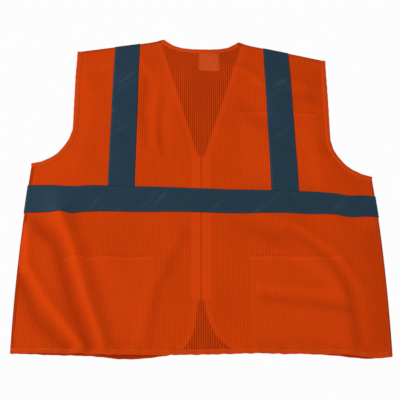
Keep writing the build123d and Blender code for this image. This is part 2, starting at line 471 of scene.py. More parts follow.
@dataclass(frozen=True)
class WovenEdge:
    """Folded woven binding, hem or seam with one row of lockstitch."""

    name: str
    colour: Colour = (0.52, 0.045, 0.003)
    thread: Colour = (0.62, 0.070, 0.007)
    # painted glow: the binding emits light in its own colour, so it stays lit where shade falls
    glow: float = 0.07
    stitch_row: float = 7.4 * MM
    stitch_length: float = 3.2 * MM
    rib: float = 0.75 * MM
    pick: float = 0.55 * MM

    def build(self) -> bpy.types.Material:
        """Makes the material.

        Returns:
            The material.
        """
        s = Shader(self.name)
        flat = s.attribute("flat")
        across, along, _ = s.split(flat)
        ribs = (along * (TURN / self.rib)).sine() * 0.5 + 0.5
        picks = (across * (TURN / self.pick)).sine() * 0.5 + 0.5
        fade = s.noise(flat, 35.0, 3.0)
        fibre = s.noise(flat, 3000.0, 1.0)
        dull = toned(self.colour, 0.82)
        cloth = s.mix(fade * 0.6 + ribs * 0.25 + fibre * 0.15, dull, self.colour)
        in_row = (across - self.stitch_row).size().rise(0.55 * MM, 0.30 * MM)
        stitch = in_row * dashes(along, self.stitch_length)
        groove = (across - self.stitch_row).size().rise(1.1 * MM, 0.3 * MM)
        # painted shade: the cloth is drawn a little darker in the groove along the stitch row
        colour = s.mix(stitch, s.mix(groove * 0.4, cloth, dull), self.thread)
        relief = ribs * 0.25 + picks * 0.15 - groove * 0.5 + stitch * 0.6 + fibre * 0.1
        return s.finish(
            Base_Color=colour,
            Roughness=0.70 + 0.15 * fibre,
            Normal=s.bump(relief, 0.35 * MM, 0.6),
            Specular_IOR_Level=0.12,
            Specular_Tint=ORANGE_GLOSS,
            Emission_Color=colour,
            Emission_Strength=self.glow,
        )


@dataclass(frozen=True)
class ReflectiveTape:
    """Slate grey glass-bead tape, stitched along both edges."""

    name: str
    width: float
    colour: Colour = (0.0135, 0.0330, 0.0530)
    # painted sheen colour of the streaks, also used for a faint wear mottle
    sheen_and_wear: Colour = (0.052, 0.088, 0.105)
    thread: Colour = (0.022, 0.052, 0.078)
    stitch_inset: float = 2.6 * MM
    stitch_length: float = 3.4 * MM

    def build(self) -> bpy.types.Material:
        """Makes the material.

        Returns:
            The material.
        """
        s = Shader(self.name)
        flat = s.attribute("flat")
        across, along, _ = s.split(flat)
        fine, coarse = (across * 0.8 - along) * 60.0, (across + along) * 9.0
        slant = s.add("ShaderNodeCombineXYZ", values={0: fine, 1: coarse})
        # painted sheen: paler slanting streaks stand in for the glass beads' reflection
        sheen_streaks = s.noise(slant, 1.0, 1.0).rise(0.55, 0.80) * s.noise(flat, 11.0, 1.0).rise(0.40, 0.62)
        beads = s.add("ShaderNodeTexVoronoi", values={"Vector": flat, "Scale": 2200.0})
        wear = s.noise(flat, 70.0, 4.0)
        cloth = s.mix(sheen_streaks * 0.27 + wear * 0.06, self.colour, self.sheen_and_wear)
        inset = across.least(self.width - across)
        in_row = (inset - self.stitch_inset).size().rise(0.50 * MM, 0.25 * MM)
        dash = dashes(along, self.stitch_length)
        groove = (inset - self.stitch_inset).size().rise(1.2 * MM, 0.2 * MM)
        edge = inset.rise(0.9 * MM, 0.2 * MM)
        colour = s.mix(in_row * dash, s.mix(edge * 0.8, cloth, toned(self.colour, 0.35)), self.thread)
        relief = beads * 0.12 - groove * 0.5 + in_row * dash * 0.5 + wear * 0.15
        return s.finish(
            Base_Color=colour,
            Roughness=0.50 + 0.16 * wear - 0.10 * sheen_streaks,
            Normal=s.bump(relief, 0.30 * MM, 0.5),
            Specular_IOR_Level=0.10,
            Specular_Tint=SLATE_GLOSS,
        )


@dataclass(frozen=True)
class ZipWeb:
    """Herringbone tape that carries the zip's coil."""

    name: str
    colour: Colour = (0.60, 0.050, 0.004)
    herringbone: float = 2.4 * MM
    twill: float = 0.9 * MM
    # painted glow: the tape emits light in its own colour, so it stays lit where shade falls
    glow: float = 0.07

    def build(self) -> bpy.types.Material:
        """Makes the material.

        Returns:
            The material.
        """
        s = Shader(self.name)
        flat = s.attribute("flat")
        across, along, _ = s.split(flat)
        zigzag = ((across / self.herringbone).fraction() - 0.5).size() * self.herringbone
        twill = ((along + zigzag) * (TURN / self.twill)).sine() * 0.5 + 0.5
        fade = s.noise(flat, 60.0, 3.0)
        cloth = s.mix(twill * 0.5 + fade * 0.5, toned(self.colour, 0.72), self.colour)
        # painted shade: the tape is drawn much darker along its inner edge, under the coil
        cloth = s.mix(across.rise(1.4 * MM, 0.5 * MM) * 0.6, cloth, toned(self.colour, 0.2))
        return s.finish(
            Base_Color=cloth,
            Roughness=0.72 + 0.10 * fade,
            Normal=s.bump(twill, 0.20 * MM, 0.5),
            Specular_IOR_Level=0.12,
            Specular_Tint=ORANGE_GLOSS,
            Emission_Color=cloth,
            Emission_Strength=self.glow,
        )


@dataclass(frozen=True)
class Moulded:
    """Nylon or lacquered metal in the cloth's colour."""

    name: str
    colour: Colour
    shade_and_wear: Colour
    roughness: float
    wear: float

    def build(self) -> bpy.types.Material:
        """Makes the material.

        Returns:
            The material.
        """
        s = Shader(self.name)
        place = s.add("ShaderNodeTexCoord", out="Object")
        speckle = s.noise(place, 900.0, 3.0)
        patches = s.noise(place, 220.0, 4.0)
        rub = patches.rise(0.62, 0.78) * self.wear
        plain = s.mix(speckle, toned(self.colour, 0.85), self.colour)
        return s.finish(
            Base_Color=s.mix(rub, plain, self.shade_and_wear),
            Roughness=self.roughness + 0.15 * speckle,
            Metallic=rub * 0.8,
            Normal=s.bump(speckle, 0.05 * MM, 0.3),
        )


@dataclass(frozen=True)
class LabelCloth:
    """Thin satin label, blank, with a stitched top edge."""

    name: str
    colour: Colour = (0.80, 0.16, 0.055)
    thread: Colour = (0.82, 0.26, 0.12)
    # painted glow: the label emits light in its own colour, so it stays lit where shade falls
    glow: float = 0.12
    weave: float = 0.5 * MM
    stitch_row: float = 2.5 * MM
    stitch_length: float = 2.6 * MM

    def build(self) -> bpy.types.Material:
        """Makes the material.

        Returns:
            The material.
        """
        s = Shader(self.name)
        flat = s.attribute("flat")
        across, down, _ = s.split(flat)
        weave = (across * (TURN / self.weave)).sine() * (down * (TURN / self.weave)).sine() * 0.5 + 0.5
        fade = s.noise(flat, 55.0, 3.0)
        cloth = s.mix(fade * 0.7 + weave * 0.3, toned(self.colour, 0.84), self.colour)
        row = (down - self.stitch_row).size().rise(0.5 * MM, 0.25 * MM)
        dash = dashes(across, self.stitch_length)
        cloth = s.mix(row * dash, cloth, self.thread)
        return s.finish(
            Base_Color=cloth,
            Roughness=0.55 + 0.15 * fade,
            Normal=s.bump(weave * 0.3 + row * dash, 0.15 * MM, 0.5),
            Specular_IOR_Level=0.2,
            Emission_Color=cloth,
            Emission_Strength=self.glow,
        )


@dataclass(frozen=True)
class StudioFloor:
    """Plain pale floor with a faint mottle."""

    name: str = "floor_paper"
    colour: Colour = (0.86, 0.86, 0.86)
    glow: float = 0.42

    def build(self) -> bpy.types.Material:
        """Makes the material.

        Returns:
            The material.
        """
        s = Shader(self.name)
        place = s.add("ShaderNodeTexCoord", out="Object")
        mottle = s.noise(place, 6.0, 3.0)
        return s.finish(
            Base_Color=s.mix(mottle, toned(self.colour, 0.97), self.colour),
            Roughness=0.85,
            Emission_Color=(1.0, 1.0, 1.0, 1.0),
            Emission_Strength=self.glow,
        )


# ---------------------------------------------------------------- flat cut


def line(start: Sequence[float], end: Sequence[float]) -> np.ndarray:
    """A straight run as two points."""
    return np.array([start, end], float)


def arc(start: Sequence[float], middle: Sequence[float], end: Sequence[float], steps: int = 48) -> np.ndarray:
    """A round run through three points.

    Args:
        start: First point.
        middle: A point on the way.
        end: Last point.
        steps: How many chords.

    Returns:
        Points along the arc.
    """
    a, b, c = (complex(*p) for p in (start, middle, end))
    w = (c - a) / (b - a)
    centre = a + (b - a) * (w - abs(w) ** 2) / (w - w.conjugate())
    turn = np.angle((c - centre) / (a - centre))
    way = np.angle((b - centre) / (a - centre))
    if turn * way < 0:
        turn -= math.copysign(2 * math.pi, turn)
    points = centre + (a - centre) * np.exp(1j * np.linspace(0, turn, steps + 1))
    return np.column_stack([points.real, points.imag])


def chain(*runs: np.ndarray) -> np.ndarray:
    """Runs joined end to end, with no point twice."""
    joined = [runs[0]] + [run[1:] for run in runs[1:]]
    return np.vstack(joined)


def travel(run: np.ndarray) -> np.ndarray:
    """Distance along a run at each of its points."""
    return np.concatenate([[0.0], np.cumsum(np.linalg.norm(np.diff(run, axis=0), axis=1))])


def even(points: np.ndarray, spacing: float) -> np.ndarray:
    """Points spaced evenly along a run.

    Args:
        points: The run.
        spacing: The wanted spacing.

    Returns:
        The new points, with the run's own ends.
    """
    travelled = travel(points)
    count = max(2, int(round(travelled[-1] / spacing)) + 1)
    wanted = np.linspace(0, travelled[-1], count)
    return np.column_stack([np.interp(wanted, travelled, points[:, i]) for i in range(points.shape[1])])


def even_loop(outline: np.ndarray, spacing: float) -> np.ndarray:
    """A closed outline with its points spaced evenly."""
    return even(np.vstack([outline, outline[:1]]), spacing)[:-1]


def flipped(points: np.ndarray) -> np.ndarray:
    """The same points on the wearer's left."""
    return points * np.array([-1.0, 1.0])


def distance_to(points: np.ndarray, run: np.ndarray) -> np.ndarray:
    """Distance from each point to a run.

    Args:
        points: Points in the flat cut.
        run: The run's points.

    Returns:
        One distance for each point.
    """
    best = np.full(len(points), np.inf)
    for a, b in zip(run[:-1], run[1:]):
        along = b - a
        share = np.clip(((points - a) @ along) / max(float(along @ along), 1e-12), 0, 1)
        best = np.minimum(best, np.linalg.norm(points - a - share[:, None] * along, axis=1))
    return best


def inside(points: np.ndarray, outline: np.ndarray) -> np.ndarray:
    """Which points lie inside a closed outline.

    Args:
        points: Points in the flat cut.
        outline: The outline's points in order.

    Returns:
        True or false for each point.
    """
    found = np.zeros(len(points), bool)
    for (x0, z0), (x1, z1) in zip(outline, np.roll(outline, -1, axis=0)):
        if z0 == z1:
            continue
        crosses = (z0 > points[:, 1]) != (z1 > points[:, 1])
        at = x0 + (points[:, 1] - z0) * (x1 - x0) / (z1 - z0)
        found ^= crosses & (points[:, 0] < at)
    return found


@dataclass(frozen=True)
class Cut:
    """The flat cut of the garment for the wearer's right half, in metres."""

    neck: tuple[float, float]
    hem_drop: float
    back_neck_drop: float
    zip_top: tuple[float, float]
    zip_bottom: tuple[float, float]
    hem_corner: tuple[float, float] = (0.329, -0.663)
    zip_top_height: float = -0.264
    shoulder_tip: tuple[float, float] = (0.251, -0.036)
    armhole_bend: tuple[float, float] = (0.248, -0.215)
    armhole_mid: tuple[float, float] = (0.2725, -0.274)
    underarm: tuple[float, float] = (0.322, -0.298)
    side_mid: tuple[float, float] = (0.330, -0.480)
    neckline_mid: tuple[float, float] = (0.051, -0.075)
    corner_start: tuple[float, float] = (0.010, -0.598)
    corner_mid: tuple[float, float] = (0.020, -0.632)
    corner_end: tuple[float, float] = (0.060, -0.659)

    @classmethod
    def from_frame(cls) -> "Cut":
        """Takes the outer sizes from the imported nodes.

        Returns:
            The cut.
        """
        panel_low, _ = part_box("back_panel")
        neck_low, neck_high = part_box("back_neck_binding")
        flap_low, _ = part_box("right_front_panel_flap")
        tape_low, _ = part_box("right_zip_tape")
        edge = flap_low.x
        return cls(
            neck=(neck_high.x, 0.0),
            hem_drop=-panel_low.z,
            back_neck_drop=-(neck_low.z + BINDING_WIDTH),
            zip_top=(edge, cls.zip_top_height),
            zip_bottom=(edge, tape_low.z),
        )

    def shoulder(self) -> np.ndarray:
        """Neck point to shoulder tip."""
        return line(self.neck, self.shoulder_tip)

    def armhole(self) -> np.ndarray:
        """Shoulder tip to underarm."""
        bend = arc(self.armhole_bend, self.armhole_mid, self.underarm)
        return chain(line(self.shoulder_tip, self.armhole_bend), bend)

    def side(self) -> np.ndarray:
        """Underarm to hem corner."""
        return arc(self.underarm, self.side_mid, self.hem_corner)

    def back_neck(self) -> np.ndarray:
        """Left neck point to right neck point."""
        return arc((-self.neck[0], self.neck[1]), (0.0, -self.back_neck_drop), self.neck)

    def back_hem(self) -> np.ndarray:
        """Right hem corner to left hem corner."""
        left = (-self.hem_corner[0], self.hem_corner[1])
        return arc(self.hem_corner, (0.0, -self.hem_drop), left)

    def front_edge(self) -> np.ndarray:
        """Neck point down the neckline and the zip, round the corner and along the hem.

        Returns:
            The run's points.
        """
        return chain(
            arc(self.neck, self.neckline_mid, self.zip_top),
            line(self.zip_top, self.zip_bottom),
            line(self.zip_bottom, self.corner_start),
            arc(self.corner_start, self.corner_mid, self.corner_end),
            line(self.corner_end, self.hem_corner),
        )

    def back_outline(self) -> np.ndarray:
        """The whole back, closed, clockwise from the right neck point."""
        right = chain(self.shoulder(), self.armhole(), self.side())
        return chain(right, self.back_hem(), flipped(right)[::-1], self.back_neck())[:-1]

    def front_outline(self) -> np.ndarray:
        """The right front, closed, clockwise from the neck point."""
        return chain(self.shoulder(), self.armhole(), self.side(), self.front_edge()[::-1])[:-1]

    def fold(self, side: float) -> tuple[np.ndarray, np.ndarray]:
        """The line on which a front folds open.

        Args:
            side: 1 for the wearer's right, -1 for the left.

        Returns:
            A point of the line and the direction across it, towards the zip.
        """
        start = np.array(self.neck) * (side, 1.0)
        along = np.array(self.hem_corner) * (side, 1.0) - start
        along /= np.linalg.norm(along)
        across = np.array([along[1], -along[0]]) * side
        return start, across


# ---------------------------------------------------------------- drape


class Layer(Enum):
    """Which cloth layer a piece belongs to, as the sign of its depth."""

    BACK = -1.0
    FRONT = 1.0


@dataclass(frozen=True)
class Crease:
    """A fold in the cloth along a run of points in millimetres."""

    run: tuple[tuple[float, float], ...]
    height: float
    width: float

    def at(self, points: np.ndarray) -> np.ndarray:
        """The fold's height in metres at each point."""
        away = distance_to(points, np.array(self.run) * MM)
        return self.height * MM * bell(away / (self.width * MM))


@dataclass(frozen=True)
class Swell:
    """A smooth rise or dip round one place across the garment."""

    middle: float
    width: float
    height: float

    def at(self, x: np.ndarray) -> np.ndarray:
        """Its height at each place."""
        return self.height * bell((x - self.middle) / self.width)


def bell(value: np.ndarray) -> np.ndarray:
    """One at nought, falling smoothly to either side."""
    return np.exp(-(value**2))


def smooth(value: np.ndarray) -> np.ndarray:
    """A smooth step from nought to one."""
    t = np.clip(value, 0, 1)
    return t * t * (3 - 2 * t)


BACK_CREASES = (
    Crease(((-326, -405), (-316, -500), (-276, -568), (-206, -655)), 7.5, 12),
    Crease(((-322, -530), (-288, -597), (-232, -655)), -6.5, 14),
    Crease(((-330, -398), (-296, -425), (-264, -451), (-250, -490), (-226, -565), (-188, -655)), -7.0, 13),
    Crease(((-262, -400), (-232, -471), (-206, -559), (-172, -652)), 7.0, 13),
    Crease(((-238, -395), (-205, -470), (-180, -560), (-150, -652)), -3.0, 12),
    Crease(((-24, -440), (-71, -549), (-88, -652)), -2.2, 10),
    Crease(((-40, -440), (-90, -549), (-106, -652)), 1.6, 12),
    Crease(((160, -432), (204, -458), (244, -500), (270, -560), (276, -640)), -3.4, 9),
    Crease(((110, -402), (186, -430), (246, -476), (284, -540)), 2.4, 10),
    Crease(((150, -470), (205, -500), (244, -540)), 3.0, 12),
    Crease(((118, -562), (190, -572), (262, -580)), -3.4, 9),
    Crease(((110, -545), (180, -549), (250, -556)), 3.0, 11),
    Crease(((316, -430), (322, -520), (318, -640)), -4.0, 14),
    Crease(((66, -412), (100, -430), (140, -446)), -2.6, 16),
    Crease(((-20, -60), (-60, -180), (-40, -320)), 1.4, 24),
    Crease(((-104, -95), (-111, -170), (-104, -255)), -2.4, 9),
    Crease(((-86, -120), (-93, -180), (-88, -245)), 2.0, 7),
    Crease(((-70, -140), (-77, -190), (-72, -268)), -2.6, 7),
    Crease(((-118, -52), (-96, -96)), 1.6, 9),
    Crease(((70, -62), (96, -72), (118, -98)), 2.8, 9),
    Crease(((170, -94), (222, -104)), 1.8, 9),
    Crease(((172, -122), (224, -130)), -2.2, 11),
    Crease(((-222, -74), (-172, -66)), 2.2, 9),
    Crease(((84, -150), (112, -190), (140, -196)), -1.8, 16),
    Crease(((-240, -70), (-214, -180), (-236, -300)), 2.0, 18),
    Crease(((240, -80), (206, -150), (246, -190)), -2.2, 22),
    Crease(((238, -230), (262, -270), (300, -318)), -2.4, 16),
    Crease(((206, -90), (204, -200), (226, -320)), 1.6, 16),
)
FRONT_CREASES = (
    Crease(((-240, -420), (-190, -520), (-150, -650)), 4.0, 26),
    Crease(((-120, -410), (-80, -520), (-70, -640)), -3.0, 24),
    Crease(((120, -410), (90, -520), (80, -640)), 3.5, 26),
    Crease(((250, -420), (210, -520), (160, -650)), -3.0, 26),
    Crease(((-200, -60), (-130, -200), (-60, -330)), 2.6, 26),
    Crease(((200, -60), (130, -200), (60, -330)), 2.6, 26),
)


@dataclass(frozen=True)
class Drape:
    """Where the flat cut hangs in space."""

    cut: Cut
    middle_gap: float
    seam_gap: float = 2.2 * MM
    spread: float = 85 * MM
    shoulder_tilt: float = -0.046
    tilt_low: float = -0.45
    tilt_reach: float = 0.15
    brace_lean: Swell = Swell(0.155, 0.06, 9 * MM)
    side_dips: tuple[Swell, ...] = (Swell(-0.245, 0.030, -5 * MM), Swell(0.276, 0.022, -5 * MM))
    dip_height: float = -0.37
    dip_reach: float = 0.05
    shoulder_lift: float = 3.5 * MM
    neck_peak: float = 3.5 * MM
    hem_sags: tuple[Swell, ...] = (Swell(0.300, 0.050, -8 * MM), Swell(0.075, 0.060, 2.5 * MM))
    front_sag: Swell = Swell(-0.115, 0.075, -9 * MM)
    sag_from: float = -0.50
    sag_reach: float = 0.15
    ripple_height: float = 0.75 * MM
    ripple_seed: int = 11
    ripple_count: int = 14
    waves: tuple[tuple[float, ...], ...] = ()

    @classmethod
    def from_frame(cls, cut: Cut) -> "Drape":
        """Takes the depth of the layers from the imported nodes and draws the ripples.

        Args:
            cut: The flat cut.

        Returns:
            The drape.
        """
        low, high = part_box("right_front_panel_flap")
        draw = np.random.default_rng(cls.ripple_seed)
        waves = []
        for _ in range(cls.ripple_count):
            length = draw.uniform(0.045, 0.19)
            angle = draw.uniform(-1.0, 1.0) + math.pi / 2 * draw.integers(0, 2) * 0.4
            waves.append((math.cos(angle) / length, math.sin(angle) / length, draw.uniform(0, 1), length))
        return cls(cut, middle_gap=(low.y + high.y) / 2, waves=tuple(waves))

    def seam_distance(self, points: np.ndarray) -> np.ndarray:
        """Distance to the nearest shoulder or side seam.

        Args:
            points: Points in the flat cut.

        Returns:
            One distance for each point.
        """
        mirrored = np.column_stack([np.abs(points[:, 0]), points[:, 1]])
        seams = (self.cut.shoulder(), even(self.cut.side(), 40 * MM))
        return np.minimum(*(distance_to(mirrored, seam) for seam in seams))

    def ripples(self, points: np.ndarray, layer: Layer) -> np.ndarray:
        """Low random waves that differ between the layers.

        Args:
            points: Points in the flat cut.
            layer: The front or the back layer.

        Returns:
            One height for each point.
        """
        total = np.zeros(len(points))
        for number, (kx, kz, phase, length) in enumerate(self.waves):
            start = phase + (0.37 * number if layer is Layer.FRONT else 0.0)
            reach = length / 0.12
            total += reach * np.sin(TURN * (points[:, 0] * kx + points[:, 1] * kz + start))
        return total * self.ripple_height / 2

    def puckers(self, points: np.ndarray) -> np.ndarray:
        """Tight gathers along the hem and the armholes, where the binding is sewn on.

        Args:
            points: Points in the flat cut.

        Returns:
            One height for each point.
        """
        mirrored = np.column_stack([np.abs(points[:, 0]), points[:, 1]])
        hem = bell((points[:, 1] + self.cut.hem_drop) / (22 * MM))
        arm = bell(distance_to(mirrored, even(self.cut.armhole(), 30 * MM)) / (16 * MM))
        x, z = points[:, 0] * TURN, points[:, 1] * TURN
        wave = np.sin(x / 0.031) + 0.6 * np.sin(x / 0.0187 + 1.0)
        tall = np.sin(z / 0.027) + 0.6 * np.sin(z / 0.0173)
        return (hem * wave * 0.9 + arm * tall * 0.6) * MM

    def relief(self, points: np.ndarray, layer: Layer) -> np.ndarray:
        """How far the folds stand out from the layer, outwards positive.

        Args:
            points: Points in the flat cut.
            layer: The front or the back layer.

        Returns:
            One height for each point.
        """
        total = self.creases(points, layer) + self.ripples(points, layer) + self.puckers(points)
        away = self.seam_distance(points)
        inwards, outwards = smooth(away / (60 * MM)), 0.35 + 0.65 * smooth(away / (22 * MM))
        total = total * np.where(total < 0, inwards, outwards)
        if layer is Layer.FRONT:
            total = total * smooth((np.abs(points[:, 0]) - 12 * MM) / (55 * MM))
        return total * smooth(away / (9 * MM))

    @staticmethod
    def creases(points: np.ndarray, layer: Layer) -> np.ndarray:
        """Height of the creases alone."""
        creases = BACK_CREASES if layer is Layer.BACK else FRONT_CREASES
        return sum(crease.at(points) for crease in creases)

    def gap(self, points: np.ndarray) -> np.ndarray:
        """Half the depth between the layers before any fold."""
        rise = smooth(self.seam_distance(points) / self.spread)
        return self.seam_gap + (self.middle_gap - self.seam_gap) * rise

    def place(self, layer: Layer, points: np.ndarray, out: Union[float, np.ndarray] = 0.0) -> np.ndarray:
        """Hangs flat points in space.

        Args:
            layer: The cloth layer.
            points: Flat coordinates, two columns.
            out: Distance from the cloth's middle, positive away from the wearer.

        Returns:
            Three columns, in metres.
        """
        x, z = points[:, 0], points[:, 1]
        tilt = self.shoulder_tilt * x * smooth((z - self.tilt_low) / self.tilt_reach)
        lean = self.brace_lean.at(x) * (0.33 + 0.67 * smooth(-z / 0.36)) * smooth((z + 0.48) / 0.09)
        dips = sum(dip.at(x) for dip in self.side_dips) * bell((z - self.dip_height) / self.dip_reach)
        lift = self.shoulder_lift * smooth((z + 0.11) / 0.08)
        lift = lift + self.neck_peak * bell((np.abs(x) - self.cut.neck[0]) / 0.014) * bell(z / 0.025)
        depth = self.gap(points) + self.relief(points, layer) + out
        height = z + tilt + dips + lift + self.sag(x, z, layer)
        return np.column_stack([x + lean, layer.value * depth, height])

    def sag(self, x: np.ndarray, z: np.ndarray, layer: Layer) -> np.ndarray:
        """How far the cloth hangs lower towards the hem.

        Args:
            x: Flat coordinates across.
            z: Flat coordinates up.
            layer: The cloth layer.

        Returns:
            Heights, mostly below nought.
        """
        total = sum(sag.at(x) for sag in self.hem_sags)
        if layer is Layer.FRONT:
            total = total + self.front_sag.at(x)
        return total * smooth((self.sag_from - z) / self.sag_reach)


# ---------------------------------------------------------------- meshes


def make_object(
    name: str,
    points: np.ndarray,
    faces: Sequence[Sequence[int]],
    flat: np.ndarray,
    hem: np.ndarray | None = None,
    closed: bool = False,
    fold: np.ndarray | None = None,
    inner: np.ndarray | None = None,
) -> bpy.types.Object:
    """Makes a mesh with its flat coordinates.

    Args:
        name: The piece's name.
        points: Places in space.
        faces: Corner numbers of each face.
        flat: Flat coordinates of each point, two columns.
        hem: Where the cloth is doubled, from nought to one.
        closed: True for a solid, whose faces are turned outwards.
        fold: Height of the creases in millimetres.
        inner: One on points of the face towards the wearer.

    Returns:
        The new object.
    """
    mesh = bpy.data.meshes.new(name)
    mesh.from_pydata([tuple(p) for p in points], [], [tuple(f) for f in faces])
    if closed:
        solid = bmesh.new()
        solid.from_mesh(mesh)
        bmesh.ops.recalc_face_normals(solid, faces=solid.faces)
        solid.to_mesh(mesh)
        solid.free()
    vectors = np.zeros((len(points), 3), np.float32)
    vectors[:, :2] = flat
    mesh.attributes.new("flat", "FLOAT_VECTOR", "POINT").data.foreach_set("vector", vectors.ravel())
    for label, given in (("hem", hem), ("fold", fold), ("inner", inner)):
        values = np.zeros(len(points), np.float32) if given is None else given.astype(np.float32)
        mesh.attributes.new(label, "FLOAT", "POINT").data.foreach_set("value", values)
    mesh.shade_smooth()
    mesh.update()
    piece = bpy.data.objects.new(name, mesh)
    bpy.context.scene.collection.objects.link(piece)
    return piece


def grid_faces(rows: int, columns: int, start: int = 0, around: bool = False) -> list[tuple[int, ...]]:
    """Square faces of a grid.

    Args:
        rows: Points one way.
        columns: Points the other way.
        start: Number of the first point.
        around: True to join the last column to the first.

    Returns:
        The faces.
    """
    faces = []
    for r in range(rows - 1):
        for c in range(columns if around else columns - 1):
            a, b = start + r * columns + c, start + r * columns + (c + 1) % columns
            faces.append((a, b, b + columns, a + columns))
    return faces


def fill(
    outline: np.ndarray,
    spacing: float,
    fold: tuple[np.ndarray, np.ndarray] | None = None,
) -> tuple[np.ndarray, list]:
    """Triangles inside an outline, finer along a fold.

    Args:
        outline: Closed flat outline.
        spacing: Distance between points.
        fold: A point of the fold line and the direction across it.

    Returns:
        Flat points and faces.
    """
    low, high = outline.min(0), outline.max(0)
    step = spacing * math.sqrt(3) / 2
    rows = np.arange(low[1], high[1], step)
    grid = []
    for number, z in enumerate(rows):
        xs = np.arange(low[0] + (number % 2) * spacing / 2, high[0], spacing)
        grid.append(np.column_stack([xs, np.full(len(xs), z)]))
    points = np.vstack(grid)
    if fold is not None:
        start, across = fold
        away = (points - start) @ across
        points = points[np.abs(away) > 16 * MM]
        along = np.array([-across[1], across[0]])
        run = np.arange(-0.72, 0.72, spacing * 0.75)
        for offset in np.arange(-15 * MM, 15.1 * MM, 2.5 * MM):
            points = np.vstack([points, start + across * offset + along * run[:, None]])
    ring = np.vstack([outline, outline[:1]])
    points = points[inside(points, outline)]
    points = points[distance_to(points, ring) > spacing * 0.42]
    everything = np.vstack([outline, points])
    corners = [Vector(p) for p in everything]
    found = delaunay_2d_cdt(corners, [], [list(range(len(outline)))], 1, 1e-7)
    return np.array([tuple(v) for v in found[0]]), [tuple(f) for f in found[2]]


def lattice(across: np.ndarray, down: np.ndarray) -> np.ndarray:
    """A grid of flat points, rows down by columns across."""
    return np.stack(np.broadcast_arrays(across[None, :], down[:, None]), axis=-1)


def wound(faces: list, flat: np.ndarray, layer: Layer) -> list:
    """Turns flat faces so that they look away from the wearer.

    Args:
        faces: Faces of a flat sheet.
        flat: Its points.
        layer: The cloth layer.

    Returns:
        The faces in the right order.
    """
    turned = []
    for face in faces:
        a, b, c = (flat[i] for i in face[:3])
        area = (b[0] - a[0]) * (c[1] - a[1]) - (b[1] - a[1]) * (c[0] - a[0])
        right_way = (area > 0) == (layer is Layer.BACK)
        turned.append(face if right_way else tuple(reversed(face)))
    return turned


def thick_sheet(
    drape: "Drape",
    name: str,
    layer: Layer,
    flat: np.ndarray,
    faces: list,
    rim: int,
    thickness: float,
) -> bpy.types.Object:
    """A panel of cloth with an outer and an inner face.

    Args:
        drape: Where the cut hangs.
        name: The piece's name.
        layer: The cloth layer.
        flat: Flat points, the outline's first.
        faces: Faces of the flat panel.
        rim: How many points the outline has.
        thickness: Thickness of the cloth.

    Returns:
        The panel.
    """
    count = len(flat)
    points = np.vstack([drape.place(layer, flat, out) for out in (thickness / 2, -thickness / 2)])
    skin = list(faces) + [tuple(count + i for i in face) for face in faces]
    for a in range(rim):
        b = (a + 1) % rim
        skin.append((a, b, b + count, a + count))
    fold = np.tile(drape.creases(flat, layer) / MM, 2)
    inner = np.repeat([0.0, 1.0], count)
    return make_object(name, points, skin, np.vstack([flat, flat]), closed=True, fold=fold, inner=inner)


def shell(name: str, low: np.ndarray, high: np.ndarray, flat: np.ndarray) -> bpy.types.Object:
    """A thin closed strip between two grids of places.

    Args:
        name: The piece's name.
        low: Grid of places on the inner face, rows by columns by three.
        high: The same on the outer face.
        flat: Flat coordinates, rows by columns by two.

    Returns:
        The strip.
    """
    rows, columns = low.shape[:2]
    count = rows * columns
    faces = grid_faces(rows, columns) + grid_faces(rows, columns, count)
    ring = [(r, 0) for r in range(rows)] + [(rows - 1, c) for c in range(1, columns)]
    ring += [(r, columns - 1) for r in range(rows - 2, -1, -1)] + [(0, c) for c in range(columns - 2, 0, -1)]
    numbers = [r * columns + c for r, c in ring]
    for a, b in zip(numbers, numbers[1:] + numbers[:1]):
        faces.append((a, b, b + count, a + count))
    points = np.vstack([low.reshape(-1, 3), high.reshape(-1, 3)])
    both = np.vstack([flat.reshape(-1, 2)] * 2)
    return make_object(name, points, faces, both, closed=True)


def tube(name: str, sections: np.ndarray, flat: np.ndarray, loop: bool = False) -> bpy.types.Object:
    """A closed skin over a row of closed sections.

    Args:
        name: The piece's name.
        sections: Places, sections by points by three.
        flat: Flat coordinates, sections by points by two.
        loop: True where the last section joins the first.

    Returns:
        The skin.
    """
    rows, columns = sections.shape[:2]
    faces = grid_faces(rows, columns, around=True)
    if loop:
        last = (rows - 1) * columns
        faces += [(last + c, last + (c + 1) % columns, (c + 1) % columns, c) for c in range(columns)]
    else:
        faces.append(tuple(range(columns - 1, -1, -1)))
        faces.append(tuple((rows - 1) * columns + c for c in range(columns)))
    return make_object(name, sections.reshape(-1, 3), faces, flat.reshape(-1, 2), closed=True)


def inward(run: np.ndarray, outline: np.ndarray) -> np.ndarray:
    """Direction into the cloth at each point of an edge.

    Args:
        run: Points of the edge.
        outline: The closed outline that the edge is part of.

    Returns:
        Unit directions.
    """
    along = np.gradient(run, axis=0)
    along /= np.linalg.norm(along, axis=1)[:, None]
    side = np.column_stack([-along[:, 1], along[:, 0]])
    middle = len(run) // 2
    probe = run[middle : middle + 1] + side[middle : middle + 1] * 2 * MM
    return side if inside(probe, outline)[0] else -side


# ---------------------------------------------------------------- what the sub-assemblies share


